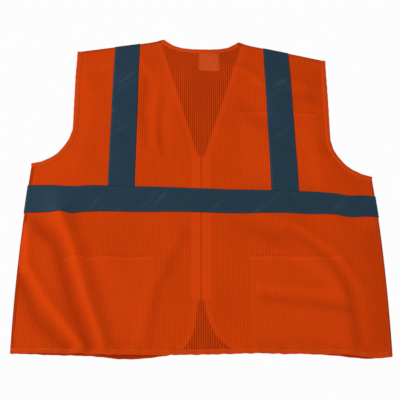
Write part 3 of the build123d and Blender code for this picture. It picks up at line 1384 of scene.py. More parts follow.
@dataclass(frozen=True)
class Finishes:
    """The materials that the pieces share."""

    back_mesh: bpy.types.Material
    front_mesh: bpy.types.Material
    pocket_mesh: bpy.types.Material
    edge: bpy.types.Material
    seam: bpy.types.Material
    tape: bpy.types.Material
    zip_web: bpy.types.Material
    coil: bpy.types.Material
    metal: bpy.types.Material
    plastic: bpy.types.Material
    label: bpy.types.Material

    @classmethod
    def make(cls, tape_width: float, glimpses: tuple[Glimpse, ...]) -> "Finishes":
        """Builds every material.

        Args:
            tape_width: Width of the reflective tape.
            glimpses: What shows through the back.

        Returns:
            The materials.
        """
        orange, lacquer, bare_metal = (0.56, 0.045, 0.004), (0.60, 0.06, 0.008), (0.62, 0.60, 0.56)
        # inner and patch are painted shade in the openings of the fronts and of the pockets
        inner, patch, bright = (0.30, 0.022, 0.001), (0.40, 0.032, 0.002), (0.63, 0.052, 0.003)
        dull = (0.36, 0.028, 0.002)
        return cls(
            back_mesh=MeshCloth("mesh_back", Behind.FRONTS, glimpses).build(),
            front_mesh=MeshCloth("mesh_front", Behind.OWN_SHADE, shaded_backing=inner).build(),
            pocket_mesh=MeshCloth("mesh_pocket", Behind.OWN_SHADE, shaded_backing=patch, colour=bright).build(),
            edge=WovenEdge("bound_edge").build(),
            seam=WovenEdge("seam_edge", colour=dull, stitch_row=3.0 * MM).build(),
            tape=ReflectiveTape("reflective_tape", tape_width).build(),
            zip_web=ZipWeb("zip_web").build(),
            coil=Moulded("zip_coil", orange, orange, 0.38, 0.0).build(),
            metal=Moulded("zip_metal", lacquer, bare_metal, 0.30, 0.7).build(),
            plastic=Moulded("zip_plastic", orange, orange, 0.42, 0.0).build(),
            label=LabelCloth("label_cloth").build(),
        )


@dataclass(frozen=True)
class Edging:
    """Folded binding: how its section is shaped."""

    width: float = BINDING_WIDTH
    thickness: float = 2.1 * MM
    overhang: float = 0.7 * MM
    spacing: float = 5 * MM
    pucker: float = 0.22 * MM

    def section(self) -> np.ndarray:
        """Points of the section: distance into the cloth, and out from its middle.

        Returns:
            The section's points in order.
        """
        half = self.thickness / 2
        shape = [(-1, 0.0), (-0.7, 0.62), (0.2, 0.98)]
        upper = [(self.overhang * d, half * h) for d, h in shape]
        rest = [(0.25, 1.0), (0.6, 0.96), (0.95, 0.82), (1.01, 0.40)]
        upper += [(self.width * d, half * h) for d, h in rest]
        lower = [(d, -h) for d, h in upper[:0:-1]]
        return np.array(upper + lower)

    def sections(
        self, drape: Drape, layer: Layer, run: np.ndarray, into: np.ndarray, phase: float = 0.0
    ) -> tuple[np.ndarray, np.ndarray]:
        """Sections of the binding along an edge.

        Args:
            drape: Where the cut hangs.
            layer: The cloth layer.
            run: Flat points of the edge.
            into: Directions into the cloth.
            phase: Distance along the binding at the run's start.

        Returns:
            Places and flat coordinates of the sections' points.
        """
        shape = self.section()
        travelled = phase + travel(run)
        turned = travelled * TURN
        swell = 1 + 0.16 * np.sin(turned / 0.0125) + 0.10 * np.sin(turned / 0.0071)
        places = []
        for deep, out in shape:
            shifted = run + into * (deep + self.pucker * np.sin(turned / 0.019))[:, None]
            places.append(drape.place(layer, shifted, out * swell))
        flat = np.zeros((len(run), len(shape), 2))
        flat[:, :, 0] = np.maximum(shape[:, 0], 0.0)
        flat[:, :, 1] = travelled[:, None]
        return np.stack(places, axis=1), flat


OVER_SEAM = (30, 60, 88)


def front_body(side: float) -> str:
    """The body of one front."""
    return "right_front" if side > 0 else "left_front"


@dataclass(frozen=True)
class Workshop:
    """What every sub-assembly needs: the cut, the drape, the finishes and the binding's shape."""

    cut: Cut
    drape: Drape
    finishes: Finishes
    edging: Edging

    @staticmethod
    def dress(
        piece: bpy.types.Object, finish: bpy.types.Material, slot: str, *nodes: str
    ) -> bpy.types.Object:
        """Gives a piece its finish and hides the nodes it stands for.

        Args:
            piece: The piece.
            finish: Its material.
            slot: Not used.
            nodes: The nodes that it stands for.

        Returns:
            The piece.
        """
        piece.data.materials.append(finish)
        if nodes:
            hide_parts(*nodes)
        log.info("%s: %d faces", piece.name, len(piece.data.polygons))
        return piece

    def bend(self, piece: bpy.types.Object, side: float) -> bpy.types.Object:
        """Bakes a front's piece's placement into its mesh; its fold line is worked out, but nothing makes it
        fold.

        Args:
            piece: The piece.
            side: 1 for the wearer's right, -1 for the left.

        Returns:
            The piece.
        """
        start, across = self.cut.fold(side)
        reach = 12 * MM
        first, last = start - across * reach, start + across * reach
        body = front_body(side)
        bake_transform(piece)
        return piece

    def bound(self, name: str, layer: Layer, run: np.ndarray, outline: np.ndarray) -> bpy.types.Object:
        """A binding along one open stretch of edge.

        Args:
            name: The piece's name.
            layer: The cloth layer.
            run: Flat points of the edge.
            outline: The outline that it binds.

        Returns:
            The binding.
        """
        run = even(run, self.edging.spacing)
        places, flat = self.edging.sections(self.drape, layer, run, inward(run, outline))
        return tube(name, places, flat)

    def strip(
        self,
        name: str,
        layer: Layer,
        rows: np.ndarray,
        out: tuple[float, float],
        flat: np.ndarray,
        ends: tuple[tuple[float, float] | None, tuple[float, float] | None] = (None, None),
    ) -> bpy.types.Object:
        """A tape laid on the cloth, which may turn over a seam at either end.

        Args:
            name: The piece's name.
            layer: The cloth layer.
            rows: Flat points, rows by columns by two.
            out: Heights of its inner and outer face over the cloth.
            flat: Its own coordinates, rows by columns by two.
            ends: Directions in which the first and last row turn over a seam.

        Returns:
            The tape.
        """
        faces = []
        for height in out:
            grid = np.stack([self.drape.place(layer, row, height) for row in rows])
            for end, first in ((ends[0], True), (ends[1], False)):
                if end is not None:
                    grid = self._turned_over(grid, layer, height, end, first)
            faces.append(grid)
        step = (self.drape.seam_gap * math.pi / 2) / len(OVER_SEAM)
        return shell(name, faces[0], faces[1], self._longer(flat, step, ends))

    def _turned_over(
        self, grid: np.ndarray, layer: Layer, height: float, end: tuple[float, float], first: bool
    ) -> np.ndarray:
        """Adds rows that turn a quarter round over a seam.

        Args:
            grid: Rows of places.
            layer: The cloth layer.
            height: Height of this face over the cloth.
            end: Direction of the turn in the flat cut.
            first: True for the first row's end.

        Returns:
            The longer grid.
        """
        edge = grid[0] if first else grid[-1]
        radius = self.drape.seam_gap + height
        more = []
        for angle in OVER_SEAM:
            a = math.radians(angle)
            row = edge.copy()
            row[:, 0] += end[0] * radius * math.sin(a)
            row[:, 2] += end[1] * radius * math.sin(a)
            row[:, 1] = layer.value * radius * math.cos(a)
            more.append(row)
        if first:
            return np.concatenate([np.stack(more[::-1]), grid])
        return np.concatenate([grid, np.stack(more)])

    @staticmethod
    def _longer(flat: np.ndarray, step: float, ends: tuple) -> np.ndarray:
        """Flat coordinates for the rows that turn over a seam.

        Args:
            flat: Flat coordinates of the strip's own rows.
            step: Cloth from one added row to the next.
            ends: How the first and the last end turn over, None where one doesn't.

        Returns:
            The flat coordinates with the added rows.
        """
        more = range(1, len(OVER_SEAM) + 1)
        parts = [flat]
        if ends[0] is not None:
            parts.insert(0, np.stack([flat[0] - (0.0, step * n) for n in reversed(more)]))
        if ends[1] is not None:
            parts.append(np.stack([flat[-1] + (0.0, step * n) for n in more]))
        return np.concatenate(parts)


# ---------------------------------------------------------------- sub-assemblies


SIDES = ((1.0, "right"), (-1.0, "left"))
WAIST_LIFT = (0.45 * MM, 0.95 * MM)
BRACE_LIFT = (0.25 * MM, 0.60 * MM)


@dataclass(frozen=True)
class BackSheet:
    """The back panel with its bindings."""

    shop: Workshop
    spacing: float = 5.5 * MM
    thickness: float = 0.45 * MM

    def build(self) -> bpy.types.Object:
        """Makes the back and its neck and hem bindings.

        Returns:
            The panel.
        """
        cut, shop = self.shop.cut, self.shop
        outline = even_loop(cut.back_outline(), self.spacing)
        flat, faces = fill(outline, self.spacing)
        panel = thick_sheet(shop.drape, "back_cloth", Layer.BACK, flat, faces, len(outline), self.thickness)
        shop.dress(panel, shop.finishes.back_mesh, "mesh_cloth", "back_panel")
        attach(panel, "vest_back")
        for name, run in (("neck", cut.back_neck()), ("hem", cut.back_hem())):
            binding = shop.bound(f"back_{name}_edge", Layer.BACK, run, cut.back_outline())
            shop.dress(binding, shop.finishes.edge, "binding", f"back_{name}_binding")
            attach(binding, "vest_back")
        return panel


def joint_box(nodes: Sequence[str]) -> tuple[np.ndarray, np.ndarray]:
    """The corners in X and Z of the box round several nodes.

    Args:
        nodes: The nodes' names.

    Returns:
        The least corner and the greatest one.
    """
    boxes = [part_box(node) for node in nodes]
    low = np.array([min(b[0].x for b in boxes), min(b[0].z for b in boxes)])
    high = np.array([max(b[1].x for b in boxes), max(b[1].z for b in boxes)])
    return low, high


@dataclass(frozen=True)
class ArmholeEdge:
    """One loop of binding round an armhole, over the shoulder and under the arm."""

    shop: Workshop
    turn_steps: int = 5
    back_phase: float = 0.31

    def build(self, side: float, word: str) -> bpy.types.Object:
        """Makes the loop.

        Args:
            side: 1 for the wearer's right, -1 for the left.
            word: The side's name.

        Returns:
            The binding.
        """
        shop = self.shop
        run = even(shop.cut.armhole(), shop.edging.spacing)
        into = inward(run, shop.cut.back_outline())
        if side < 0:
            run, into = flipped(run), flipped(into)
        front, flat_front = shop.edging.sections(shop.drape, Layer.FRONT, run, into)
        back, flat_back = shop.edging.sections(shop.drape, Layer.BACK, run[::-1], into[::-1], self.back_phase)
        under = self._turn(front[-1], back[0], np.array([side * 0.99, 0.0, -0.12]))
        over = self._turn(back[-1], front[0], np.array([side * 0.10, 0.0, 0.99]))
        places = np.concatenate([front, under, back, over])
        spare = np.repeat(flat_back[:1], self.turn_steps, axis=0)
        flat = np.concatenate([flat_front, spare, flat_back, spare])
        loop = tube(f"{word}_armhole_edge", places, flat, loop=True)
        shop.dress(loop, shop.finishes.edge, "binding", f"{word}_armhole_binding")
        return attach(loop, "vest_back")

    def _turn(self, first: np.ndarray, last: np.ndarray, outwards: np.ndarray) -> np.ndarray:
        """Sections that carry the binding from one layer to the other.

        Args:
            first: The section before the turn.
            last: The section after it.
            outwards: Direction in which the turn bulges.

        Returns:
            The sections between.
        """
        rows = []
        for angle in np.linspace(0, math.pi, self.turn_steps + 2)[1:-1]:
            middle, half = (first + last) / 2, (first - last) / 2
            depth = np.abs(half[:, 1])[:, None]
            rows.append(middle + half * math.cos(angle) + outwards * depth * math.sin(angle))
        return np.stack(rows)


@dataclass(frozen=True)
class Seams:
    """The shoulder and side seams, which close the edge between the layers."""

    shop: Workshop
    wall: float = 0.9 * MM
    reach: float = 4.5 * MM

    def build(self, side: float, word: str) -> None:
        """Makes both seams of one side.

        Args:
            side: 1 for the wearer's right, -1 for the left.
            word: The side's name.
        """
        for name, run in (("shoulder", self.shop.cut.shoulder()), ("side", self.shop.cut.side())):
            seam = self._seam(f"{word}_{name}_join", even(run, 6 * MM), side)
            self.shop.dress(seam, self.shop.finishes.seam, "seam_tape", f"{word}_{name}_seam")
            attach(seam, "vest_back")

    def _seam(self, name: str, run: np.ndarray, side: float) -> bpy.types.Object:
        """One seam as a curved skin round the edge.

        Args:
            name: The piece's name.
            run: Flat points of the seam on the wearer's right.
            side: 1 for the wearer's right, -1 for the left.

        Returns:
            The seam.
        """
        drape = self.shop.drape
        into = inward(run, self.shop.cut.back_outline())
        if side < 0:
            run, into = flipped(run), flipped(into)
        edge = drape.place(Layer.FRONT, run)
        edge[:, 1] = 0.0
        deep = np.column_stack([into[:, 0], np.zeros(len(run)), into[:, 1]])
        half = drape.seam_gap
        outer = [(self.reach, half + 0.5 * self.wall), (0.0, half + 0.45 * self.wall)]
        outer += [(-half * math.cos(a) * 0.8, half * math.sin(a) * 1.1) for a in (1.0, 0.5, 0.0, -0.5, -1.0)]
        outer += [(0.0, -half - 0.45 * self.wall), (self.reach, -half - 0.5 * self.wall)]
        inner = [(self.reach, -half + 0.3 * self.wall), (0.6 * MM, -half * 0.6), (-0.2 * MM, 0.0)]
        inner += [(0.6 * MM, half * 0.6), (self.reach, half - 0.3 * self.wall)]
        shape = np.array(outer + inner)
        places = np.stack([edge + deep * d + np.array([0, 1.0, 0]) * h for d, h in shape], axis=1)
        flat = np.zeros((len(run), len(shape), 2))
        flat[:, :, 0] = np.maximum(shape[:, 0], 0.0)
        flat[:, :, 1] = travel(run)[:, None]
        return tube(name, places, flat)


@dataclass(frozen=True)
class Tapes:
    """The reflective waist and brace tapes on both layers."""

    shop: Workshop
    width: float
    waist_top: float
    brace_middle: float
    zip_margin: float
    cell: float = 3.6 * MM
    tuck: float = 6 * MM

    @classmethod
    def from_frame(cls, shop: Workshop) -> "Tapes":
        """Takes the tapes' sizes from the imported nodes.

        Args:
            shop: What the sub-assemblies share.

        Returns:
            The tapes.
        """
        low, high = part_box("back_waist_tape")
        brace_low, brace_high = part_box("right_brace_tape_back")
        flap_low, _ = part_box("right_waist_tape_front_flap")
        return cls(shop, high.z - low.z, high.z, (brace_low.x + brace_high.x) / 2, flap_low.x)

    def build(self) -> None:
        """Makes every tape."""
        self._waist("back_waist_band", Layer.BACK, None, "back_waist_tape")
        for side, word in SIDES:
            nodes = [f"{word}_waist_tape_front_{part}" for part in ("side", "flap")]
            self._waist(f"{word}_front_waist_band", Layer.FRONT, side, *nodes)
            self._brace(f"{word}_back_brace", Layer.BACK, side, f"{word}_brace_tape_back")
            nodes = [f"{word}_brace_tape_front_{part}" for part in ("upper", "lower")]
            self._brace(f"{word}_front_brace", Layer.FRONT, side, *nodes)

    def _finish(
        self, piece: bpy.types.Object, layer: Layer, side: float | None, nodes: Sequence[str]
    ) -> None:
        """Args:
            piece: The tape.
            layer: The cloth layer.
            side: 1 or -1 on a front, or None on the back.
            nodes: The nodes that it stands for.
        """
        self.shop.dress(piece, self.shop.finishes.tape, "reflective_tape", *nodes)
        if layer is Layer.BACK or side is None:
            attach(piece, "vest_back")
        else:
            self.shop.bend(piece, side)

    def _waist(self, name: str, layer: Layer, side: float | None, *nodes: str) -> None:
        """A waist tape across the back, or from the zip to the side on a front.

        Args:
            name: The piece's name.
            layer: The cloth layer.
            side: 1 or -1 on a front, or None across the back.
            nodes: The nodes that it stands for.
        """
        across = np.linspace(0, self.width, int(self.width / self.cell) + 2)
        heights = self.waist_top - self.width + across
        side_run = self.shop.cut.side()
        limits = np.interp(-heights, -side_run[:, 1], side_run[:, 0])
        reach = 2 * limits.max() if side is None else limits.max() - self.zip_margin
        steps = int(reach / self.cell)
        share = np.linspace(0, 1, steps + 1)[:, None]
        if side is None:
            x = -limits + share * 2 * limits
            ends = ((-1.0, 0.0), (1.0, 0.0))
        else:
            x = side * (self.zip_margin + share * (limits - self.zip_margin))
            ends = (None, (side, 0.0))
        rows = np.stack([x, np.broadcast_to(heights, x.shape)], axis=-1)
        flat = np.stack([np.broadcast_to(across, x.shape), np.broadcast_to(share * reach, x.shape)], axis=-1)
        piece = self.shop.strip(name, layer, rows, WAIST_LIFT, flat, ends)
        self._finish(piece, layer, side, nodes)

    def _brace(self, name: str, layer: Layer, side: float, *nodes: str) -> None:
        """A brace tape from the waist tape over the shoulder seam.

        Args:
            name: The piece's name.
            layer: The cloth layer.
            side: 1 or -1.
            nodes: The nodes that it stands for.
        """
        across = np.linspace(0, self.width, int(self.width / self.cell) + 2)
        x = side * self.brace_middle - self.width / 2 + across
        shoulder = self.shop.cut.shoulder()
        tops = np.interp(np.abs(x), shoulder[:, 0], shoulder[:, 1])
        foot = self.waist_top - self.tuck
        steps = int((tops.max() - foot) / self.cell)
        share = np.linspace(0, 1, steps + 1)[:, None]
        z = foot + share * (tops - foot)
        rows = np.stack([np.broadcast_to(x, z.shape), z], axis=-1)
        length = float(tops.mean() - foot)
        flat = np.stack([np.broadcast_to(across, z.shape), np.broadcast_to(share * length, z.shape)], axis=-1)
        piece = self.shop.strip(name, layer, rows, BRACE_LIFT, flat, (None, (0.0, 1.0)))
        self._finish(piece, layer, side, nodes)


@dataclass(frozen=True)
class FrontSheet:
    """A front panel with the binding down its edge and along its hem."""

    shop: Workshop
    spacing: float = 6 * MM
    edge_spacing: float = 4 * MM

    def build(self, side: float, word: str) -> bpy.types.Object:
        """Makes one front.

        Args:
            side: 1 for the wearer's right, -1 for the left.
            word: The side's name.

        Returns:
            The panel.
        """
        shop, cut = self.shop, self.shop.cut
        outline = even_loop(cut.front_outline(), self.spacing)
        flat, faces = fill(outline, self.spacing, cut.fold(1.0))
        if side < 0:
            flat = flipped(flat)
        places = shop.drape.place(Layer.FRONT, flat)
        fold = shop.drape.creases(flat, Layer.FRONT) / MM
        panel = make_object(f"{word}_front_cloth", places, wound(faces, flat, Layer.FRONT), flat, fold=fold)
        nodes = [f"{word}_front_panel_{part}" for part in ("side", "flap")]
        shop.dress(panel, shop.finishes.front_mesh, "mesh_cloth", *nodes)
        shop.bend(panel, side)
        binding = self._edge(side, word)
        return panel

    def _edge(self, side: float, word: str) -> bpy.types.Object:
        """The binding of one front.

        Args:
            side: 1 for the wearer's right, -1 for the left.
            word: The side's name.

        Returns:
            The binding.
        """
        shop = self.shop
        run = even(shop.cut.front_edge(), self.edge_spacing)
        into = inward(run, shop.cut.front_outline())
        if side < 0:
            run, into = flipped(run), flipped(into)
        places, flat = shop.edging.sections(shop.drape, Layer.FRONT, run, into)
        binding = tube(f"{word}_front_edge", places, flat)
        shop.dress(binding, shop.finishes.edge, "binding", f"{word}_front_edge_binding")
        return shop.bend(binding, side)


@dataclass(frozen=True)
class PatchPocket:
    """A mesh patch pocket on the inner face of a front, hemmed all round."""

    shop: Workshop
    name: str
    side: float
    nodes: tuple[str, ...]
    mouth_nodes: tuple[str, ...]
    folds: bool
    hem: float = 7 * MM
    clear: float = 1.25 * MM
    bulge: float = 2.6 * MM
    gape: float = 2.2 * MM
    spacing: float = 4 * MM

    def build(self) -> bpy.types.Object:
        """Makes the pocket and its mouth hem.

        Returns:
            The patch.
        """
        shop = self.shop
        (low_x, low_z), (high_x, high_z) = joint_box(self.nodes)
        xs = np.linspace(low_x, high_x, int((high_x - low_x) / self.spacing) + 1)
        zs = np.linspace(low_z, high_z, int((high_z - low_z) / self.spacing) + 1)
        flat = lattice(xs, zs).reshape(-1, 2)
        share_x = (flat[:, 0] - low_x) / (high_x - low_x)
        share_z = (flat[:, 1] - low_z) / (high_z - low_z)
        upwards = np.sin(math.pi * np.clip(share_z * 0.6 + 0.05, 0, 0.5))
        crown = np.sin(math.pi * share_x) ** 0.6 * upwards**0.8
        mouth = np.sin(math.pi * share_x) * smooth((share_z - 0.7) / 0.3)
        out = -(self.clear + self.bulge * crown + self.gape * mouth)
        edge = np.minimum.reduce([flat[:, 0] - low_x, high_x - flat[:, 0], flat[:, 1] - low_z])
        places = shop.drape.place(Layer.FRONT, flat, out)
        faces = wound(grid_faces(len(zs), len(xs)), flat, Layer.BACK)
        hem = smooth((self.hem + 1 * MM - edge) / (2 * MM))
        patch = make_object(self.name, places, faces, flat, hem)
        shop.dress(patch, shop.finishes.pocket_mesh, "pocket_cloth", *self.nodes)
        strip = self._mouth(places.reshape(len(zs), len(xs), 3)[-4:], xs - low_x)
        for piece in (patch, strip):
            if self.folds:
                shop.bend(piece, self.side)
            else:
                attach(piece, front_body(self.side))
        return patch

    def _mouth(self, rows: np.ndarray, along: np.ndarray) -> bpy.types.Object:
        """The doubled hem along the mouth.

        Args:
            rows: The patch's top rows of places.
            along: Distances along the mouth.

        Returns:
            The hem.
        """
        forward = np.array([0.0, 1.0, 0.0])
        low, high = rows - forward * 1.0 * MM, rows + forward * 0.35 * MM
        across = np.arange(len(rows))[::-1] * self.spacing
        flat = np.stack(np.broadcast_arrays(across[:, None], along[None, :]), axis=-1)
        strip = shell(f"{self.name}_mouth", low, high, flat)
        return self.shop.dress(strip, self.shop.finishes.edge, "binding", *self.mouth_nodes)


@dataclass(frozen=True)
class ZipFastener:
    """Both halves of the zip, the slider and its pull."""

    shop: Workshop
    pitch: float = 1.55 * MM
    slit: float = 0.05 * MM
    web_lift: tuple[float, float] = (-1.75 * MM, -1.25 * MM)
    wire: float = 0.34 * MM
    turn_points: int = 9
    coil_middle: float = 1.28 * MM
    coil_reach: float = 1.62 * MM
    coil_depth: float = 0.66 * MM

    def build(self) -> None:
        """Makes every piece of the zip."""
        metal, plastic = self.shop.finishes.metal, self.shop.finishes.plastic
        for side, word in SIDES:
            body = f"{word}_front"
            self._web(side, word, body)
            self._coil(side, word, body)
            self._block(f"{word}_zip_stop", f"{word}_zip_top_stop", body, "zip_metal", metal, 0.5)
        self._block("zip_box", "zip_retainer_box", "left_front", "zip_plastic", plastic, 0.7)
        self._block("zip_fixed_post", "zip_fixed_pin", "left_front", "zip_plastic", plastic, 0.6)
        self._block("zip_loose_post", "zip_insertion_pin", "right_front", "zip_plastic", plastic, 0.6)
        self._slider()
        self._pull()

    def _web(self, side: float, word: str, body: str) -> None:
        """The woven tape of one half.

        Args:
            side: 1 for the wearer's right, -1 for the left.
            word: The side's name.
            body: The body it rides on.
        """
        low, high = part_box(f"{word}_zip_tape")
        outer = max(abs(low.x), abs(high.x))
        inner = self.slit
        across = np.linspace(0, outer - inner, 7)
        down = np.linspace(low.z, high.z, int((high.z - low.z) / (4 * MM)))
        x = side * (inner + across)
        flat = lattice(across, down)
        web = self.shop.strip(f"{word}_zip_web", Layer.FRONT, lattice(x, down), self.web_lift, flat)
        self.shop.dress(web, self.shop.finishes.zip_web, "zip_cloth", f"{word}_zip_tape")
        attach(web, body)
        outer - inner

    def _coil(self, side: float, word: str, body: str) -> None:
        """The nylon coil of one half, as a wound filament.

        Args:
            side: 1 for the wearer's right, -1 for the left.
            word: The side's name.
            body: The body it rides on.
        """
        low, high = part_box(f"{word}_zip_row")
        middle_y = (low.y + high.y) / 2 - 0.1 * MM
        turns = (high.z - low.z) / self.pitch
        t = np.linspace(0, turns, int(turns * self.turn_points))
        angle = TURN * (t + (0.5 if side < 0 else 0.0))
        x = side * (self.coil_middle + self.coil_reach * np.cos(angle))
        y = middle_y + self.coil_depth * np.sin(angle)
        path = np.column_stack([x, y, low.z + t * self.pitch])
        coil = wire_along(f"{word}_zip_coil", path, self.wire)
        self.shop.dress(coil, self.shop.finishes.coil, "zip_coil", f"{word}_zip_row")
        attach(coil, body)

    def _block(
        self, name: str, node: str, body: str, slot: str, finish: bpy.types.Material, round_off: float
    ) -> None:
        """A small moulded part with rounded edges.

        Args:
            name: The piece's name.
            node: The node that it stands for.
            body: The body it rides on.
            slot: The record's material slot.
            finish: Its material.
            round_off: Rounding of its edges in millimetres.
        """
        low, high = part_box(node)
        part = rounded_block(name, low, high, round_off * MM)
        self.shop.dress(part, finish, slot, node)
        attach(part, body)

    def _slider(self) -> None:
        """The slider: two waisted plates, a nose between them, side lips and a bail."""
        low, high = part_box("zip_slider")
        lip_low, lip_high = 9.5 * MM, 12.7 * MM
        top, foot, half = high.z, low.z, high.x
        outline = [(-0.78, 0.0), (0.78, 0.0), (0.84, 0.35), (1.0, 0.62), (0.94, 0.92), (0.45, 1.0)]
        outline += [(0.0, 0.93), (-0.45, 1.0), (-0.94, 0.92), (-1.0, 0.62), (-0.84, 0.35)]
        shape = [(x * half, foot + z * (top - foot)) for x, z in outline]
        parts = [
            prism(shape, low.y, lip_low),
            prism(shape, lip_high, lip_high + 1.0 * MM),
            prism(self._wedge(foot + 6 * MM, top - 0.8 * MM), lip_low, lip_high),
        ]
        for side in (-1, 1):
            lip = [(side * half * 0.80, foot + 0.5 * MM), (side * half * 0.98, foot + 3 * MM)]
            lip += [(side * half * 0.99, top - 3 * MM), (side * half * 0.80, top - 3 * MM)]
            parts.append(prism(lip, lip_low + 1.2 * MM, lip_high))
        middle = (top + foot) / 2
        bail = rectangle(-0.9 * MM, middle - 2.6 * MM, 0.9 * MM, middle + 2.6 * MM)
        parts.append(prism(bail, lip_high + 0.8 * MM, high.y - 0.2 * MM))
        body = joined("zip_runner", parts, 0.28 * MM)
        self.shop.dress(body, self.shop.finishes.metal, "zip_metal", "zip_slider")
        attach(body, "slider")

    @staticmethod
    def _wedge(low: float, high: float) -> list[tuple[float, float]]:
        """Outline of the wedge that parts the coils at the slider's top."""
        return [(-0.25 * MM, low), (0.25 * MM, low), (1.3 * MM, high), (-1.3 * MM, high)]

    def _pull(self) -> None:
        """The pull tab: a frame round the bail, a neck and a ribbed grip with an eye."""
        low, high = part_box("zip_pull")
        half, middle_y, thick = high.x, (low.y + high.y) / 2, 1.4 * MM
        top, foot = high.z, low.z
        eye_z, neck_z = top - 4.6 * MM, top - 9 * MM
        y0, y1 = middle_y - thick / 2, middle_y + thick / 2
        inner, outer = 1.45 * MM, half - 0.5 * MM
        parts = [prism(rectangle(side * inner, eye_z, side * outer, top), y0, y1) for side in (-1, 1)]
        parts.append(prism(rectangle(-outer, neck_z + 2.2 * MM, outer, eye_z + 0.2 * MM), y0, y1))
        grip = []
        for step in range(17):
            angle = math.pi * step / 16
            grip.append((half * math.cos(angle), foot + half - half * math.sin(angle)))
        shoulders = [(-0.92, 0.0), (-0.55, 2.8), (0.55, 2.8), (0.92, 0.0)]
        grip += [(half * across, neck_z + up * MM) for across, up in shoulders]
        parts.append(prism(grip, y0, y1))
        for number in range(5):
            z = foot + 5 * MM + number * 2.3 * MM
            rib = rectangle(-half * 0.66, z, half * 0.66, z + 0.9 * MM)
            parts.append(prism(rib, y1 - 0.1 * MM, y1 + 0.25 * MM))
        tab = joined("zip_tab", parts, 0.22 * MM)
        self.shop.dress(tab, self.shop.finishes.metal, "zip_metal", "zip_pull")
        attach(tab, "pull")


def wire_along(name: str, path: np.ndarray, radius: float, sides: int = 6) -> bpy.types.Object:
    """A round wire along a path.

    Args:
        name: The piece's name.
        path: Points of its middle.
        radius: The wire's radius.
        sides: Corners of its section.

    Returns:
        The wire.
    """
    along = np.gradient(path, axis=0)
    along /= np.linalg.norm(along, axis=1)[:, None]
    up = np.cross(along, np.array([0.0, 0.0, 1.0]))
    up /= np.linalg.norm(up, axis=1)[:, None]
    other = np.cross(along, up)
    angles = np.linspace(0, TURN, sides, endpoint=False)
    rings = [path + radius * (math.cos(a) * up + math.sin(a) * other) for a in angles]
    flat = np.zeros((len(path), sides, 2))
    flat[:, :, 1] = path[:, 2:3]
    return tube(name, np.stack(rings, axis=1), flat)


def rectangle(x_low: float, z_low: float, x_high: float, z_high: float) -> list[tuple[float, float]]:
    """The outline of a rectangle."""
    return [(x_low, z_low), (x_high, z_low), (x_high, z_high), (x_low, z_high)]


def prism(outline: Sequence[tuple[float, float]], y_low: float, y_high: float) -> tuple[list, list]:
    """A flat plate.

    Args:
        outline: Its outline in X and Z.
        y_low: Depth of one face.
        y_high: Depth of the other.

    Returns:
        Points and faces.
    """
    count = len(outline)
    points = [(x, y, z) for y in (y_low, y_high) for x, z in outline]
    faces = [tuple(range(count)), tuple(range(2 * count - 1, count - 1, -1))]
    faces += [(i, (i + 1) % count, count + (i + 1) % count, count + i) for i in range(count)]
    return points, faces


def joined(name: str, parts: Sequence[tuple[list, list]], round_off: float) -> bpy.types.Object:
    """Plates joined into one piece with rounded edges.

    Args:
        name: The piece's name.
        parts: Points and faces of each plate.
        round_off: Radius of the rounding.

    Returns:
        The piece.
    """
    points, faces = [], []
    for part_points, part_faces in parts:
        start = len(points)
        points += part_points
        faces += [tuple(start + i for i in face) for face in part_faces]
    spots = np.array(points)
    piece = make_object(name, spots, faces, spots[:, [0, 2]], closed=True)
    solid = bmesh.new()
    solid.from_mesh(piece.data)
    edges = [e for e in solid.edges if len(e.link_faces) == 2 and e.calc_face_angle() > 0.3]
    bmesh.ops.bevel(solid, geom=edges, offset=round_off, segments=2, affect="EDGES", clamp_overlap=True)
    solid.to_mesh(piece.data)
    solid.free()
    piece.data.shade_smooth()
    return piece


def rounded_block(name: str, low: Vector, high: Vector, round_off: float) -> bpy.types.Object:
    """A block with rounded edges between two corners."""
    return joined(name, [prism(rectangle(low.x, low.z, high.x, high.z), low.y, high.y)], round_off)


@dataclass(frozen=True)
class NeckLabel:
    """The blank label sewn below the back of the neck."""

    shop: Workshop
    lift: tuple[float, float] = (-1.75 * MM, -1.45 * MM)
    curl: float = 2.5 * MM
    points: int = 15
    sewn: float = 0.5 * MM
    free: float = 7 * MM

    def build(self) -> bpy.types.Object:
        """Makes the label.

        Returns:
            The piece.
        """
        low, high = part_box("neck_label")
        width, height = high.x - low.x, high.z - low.z
        across, down = np.linspace(0, width, self.points), np.linspace(0, height, self.points)
        grids = []
        for lift in self.lift:
            rows = []
            for d in down:
                points = np.column_stack([low.x + across, np.full(len(across), high.z - d)])
                bow = self.curl * (d / height) ** 2 * (0.4 + 0.6 * np.cos((across / width - 0.6) * math.pi))
                row = self.shop.drape.place(Layer.BACK, points, lift - np.abs(bow))
                row[:, 2] = high.z - d
                rows.append(row)
            grids.append(np.stack(rows))
        label = shell("label_cloth", grids[0], grids[1], lattice(across, down))
        self.shop.dress(label, self.shop.finishes.label, "label", "neck_label")
        sewn, free = high.z - self.sewn, high.z - self.free
        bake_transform(label)
        return label


# ---------------------------------------------------------------- studio


@dataclass(frozen=True)
class Lamp:
    """One soft square panel light: where it stands, its side and its watts."""

    name: str
    place: tuple[float, float, float]
    size: float
    power: float


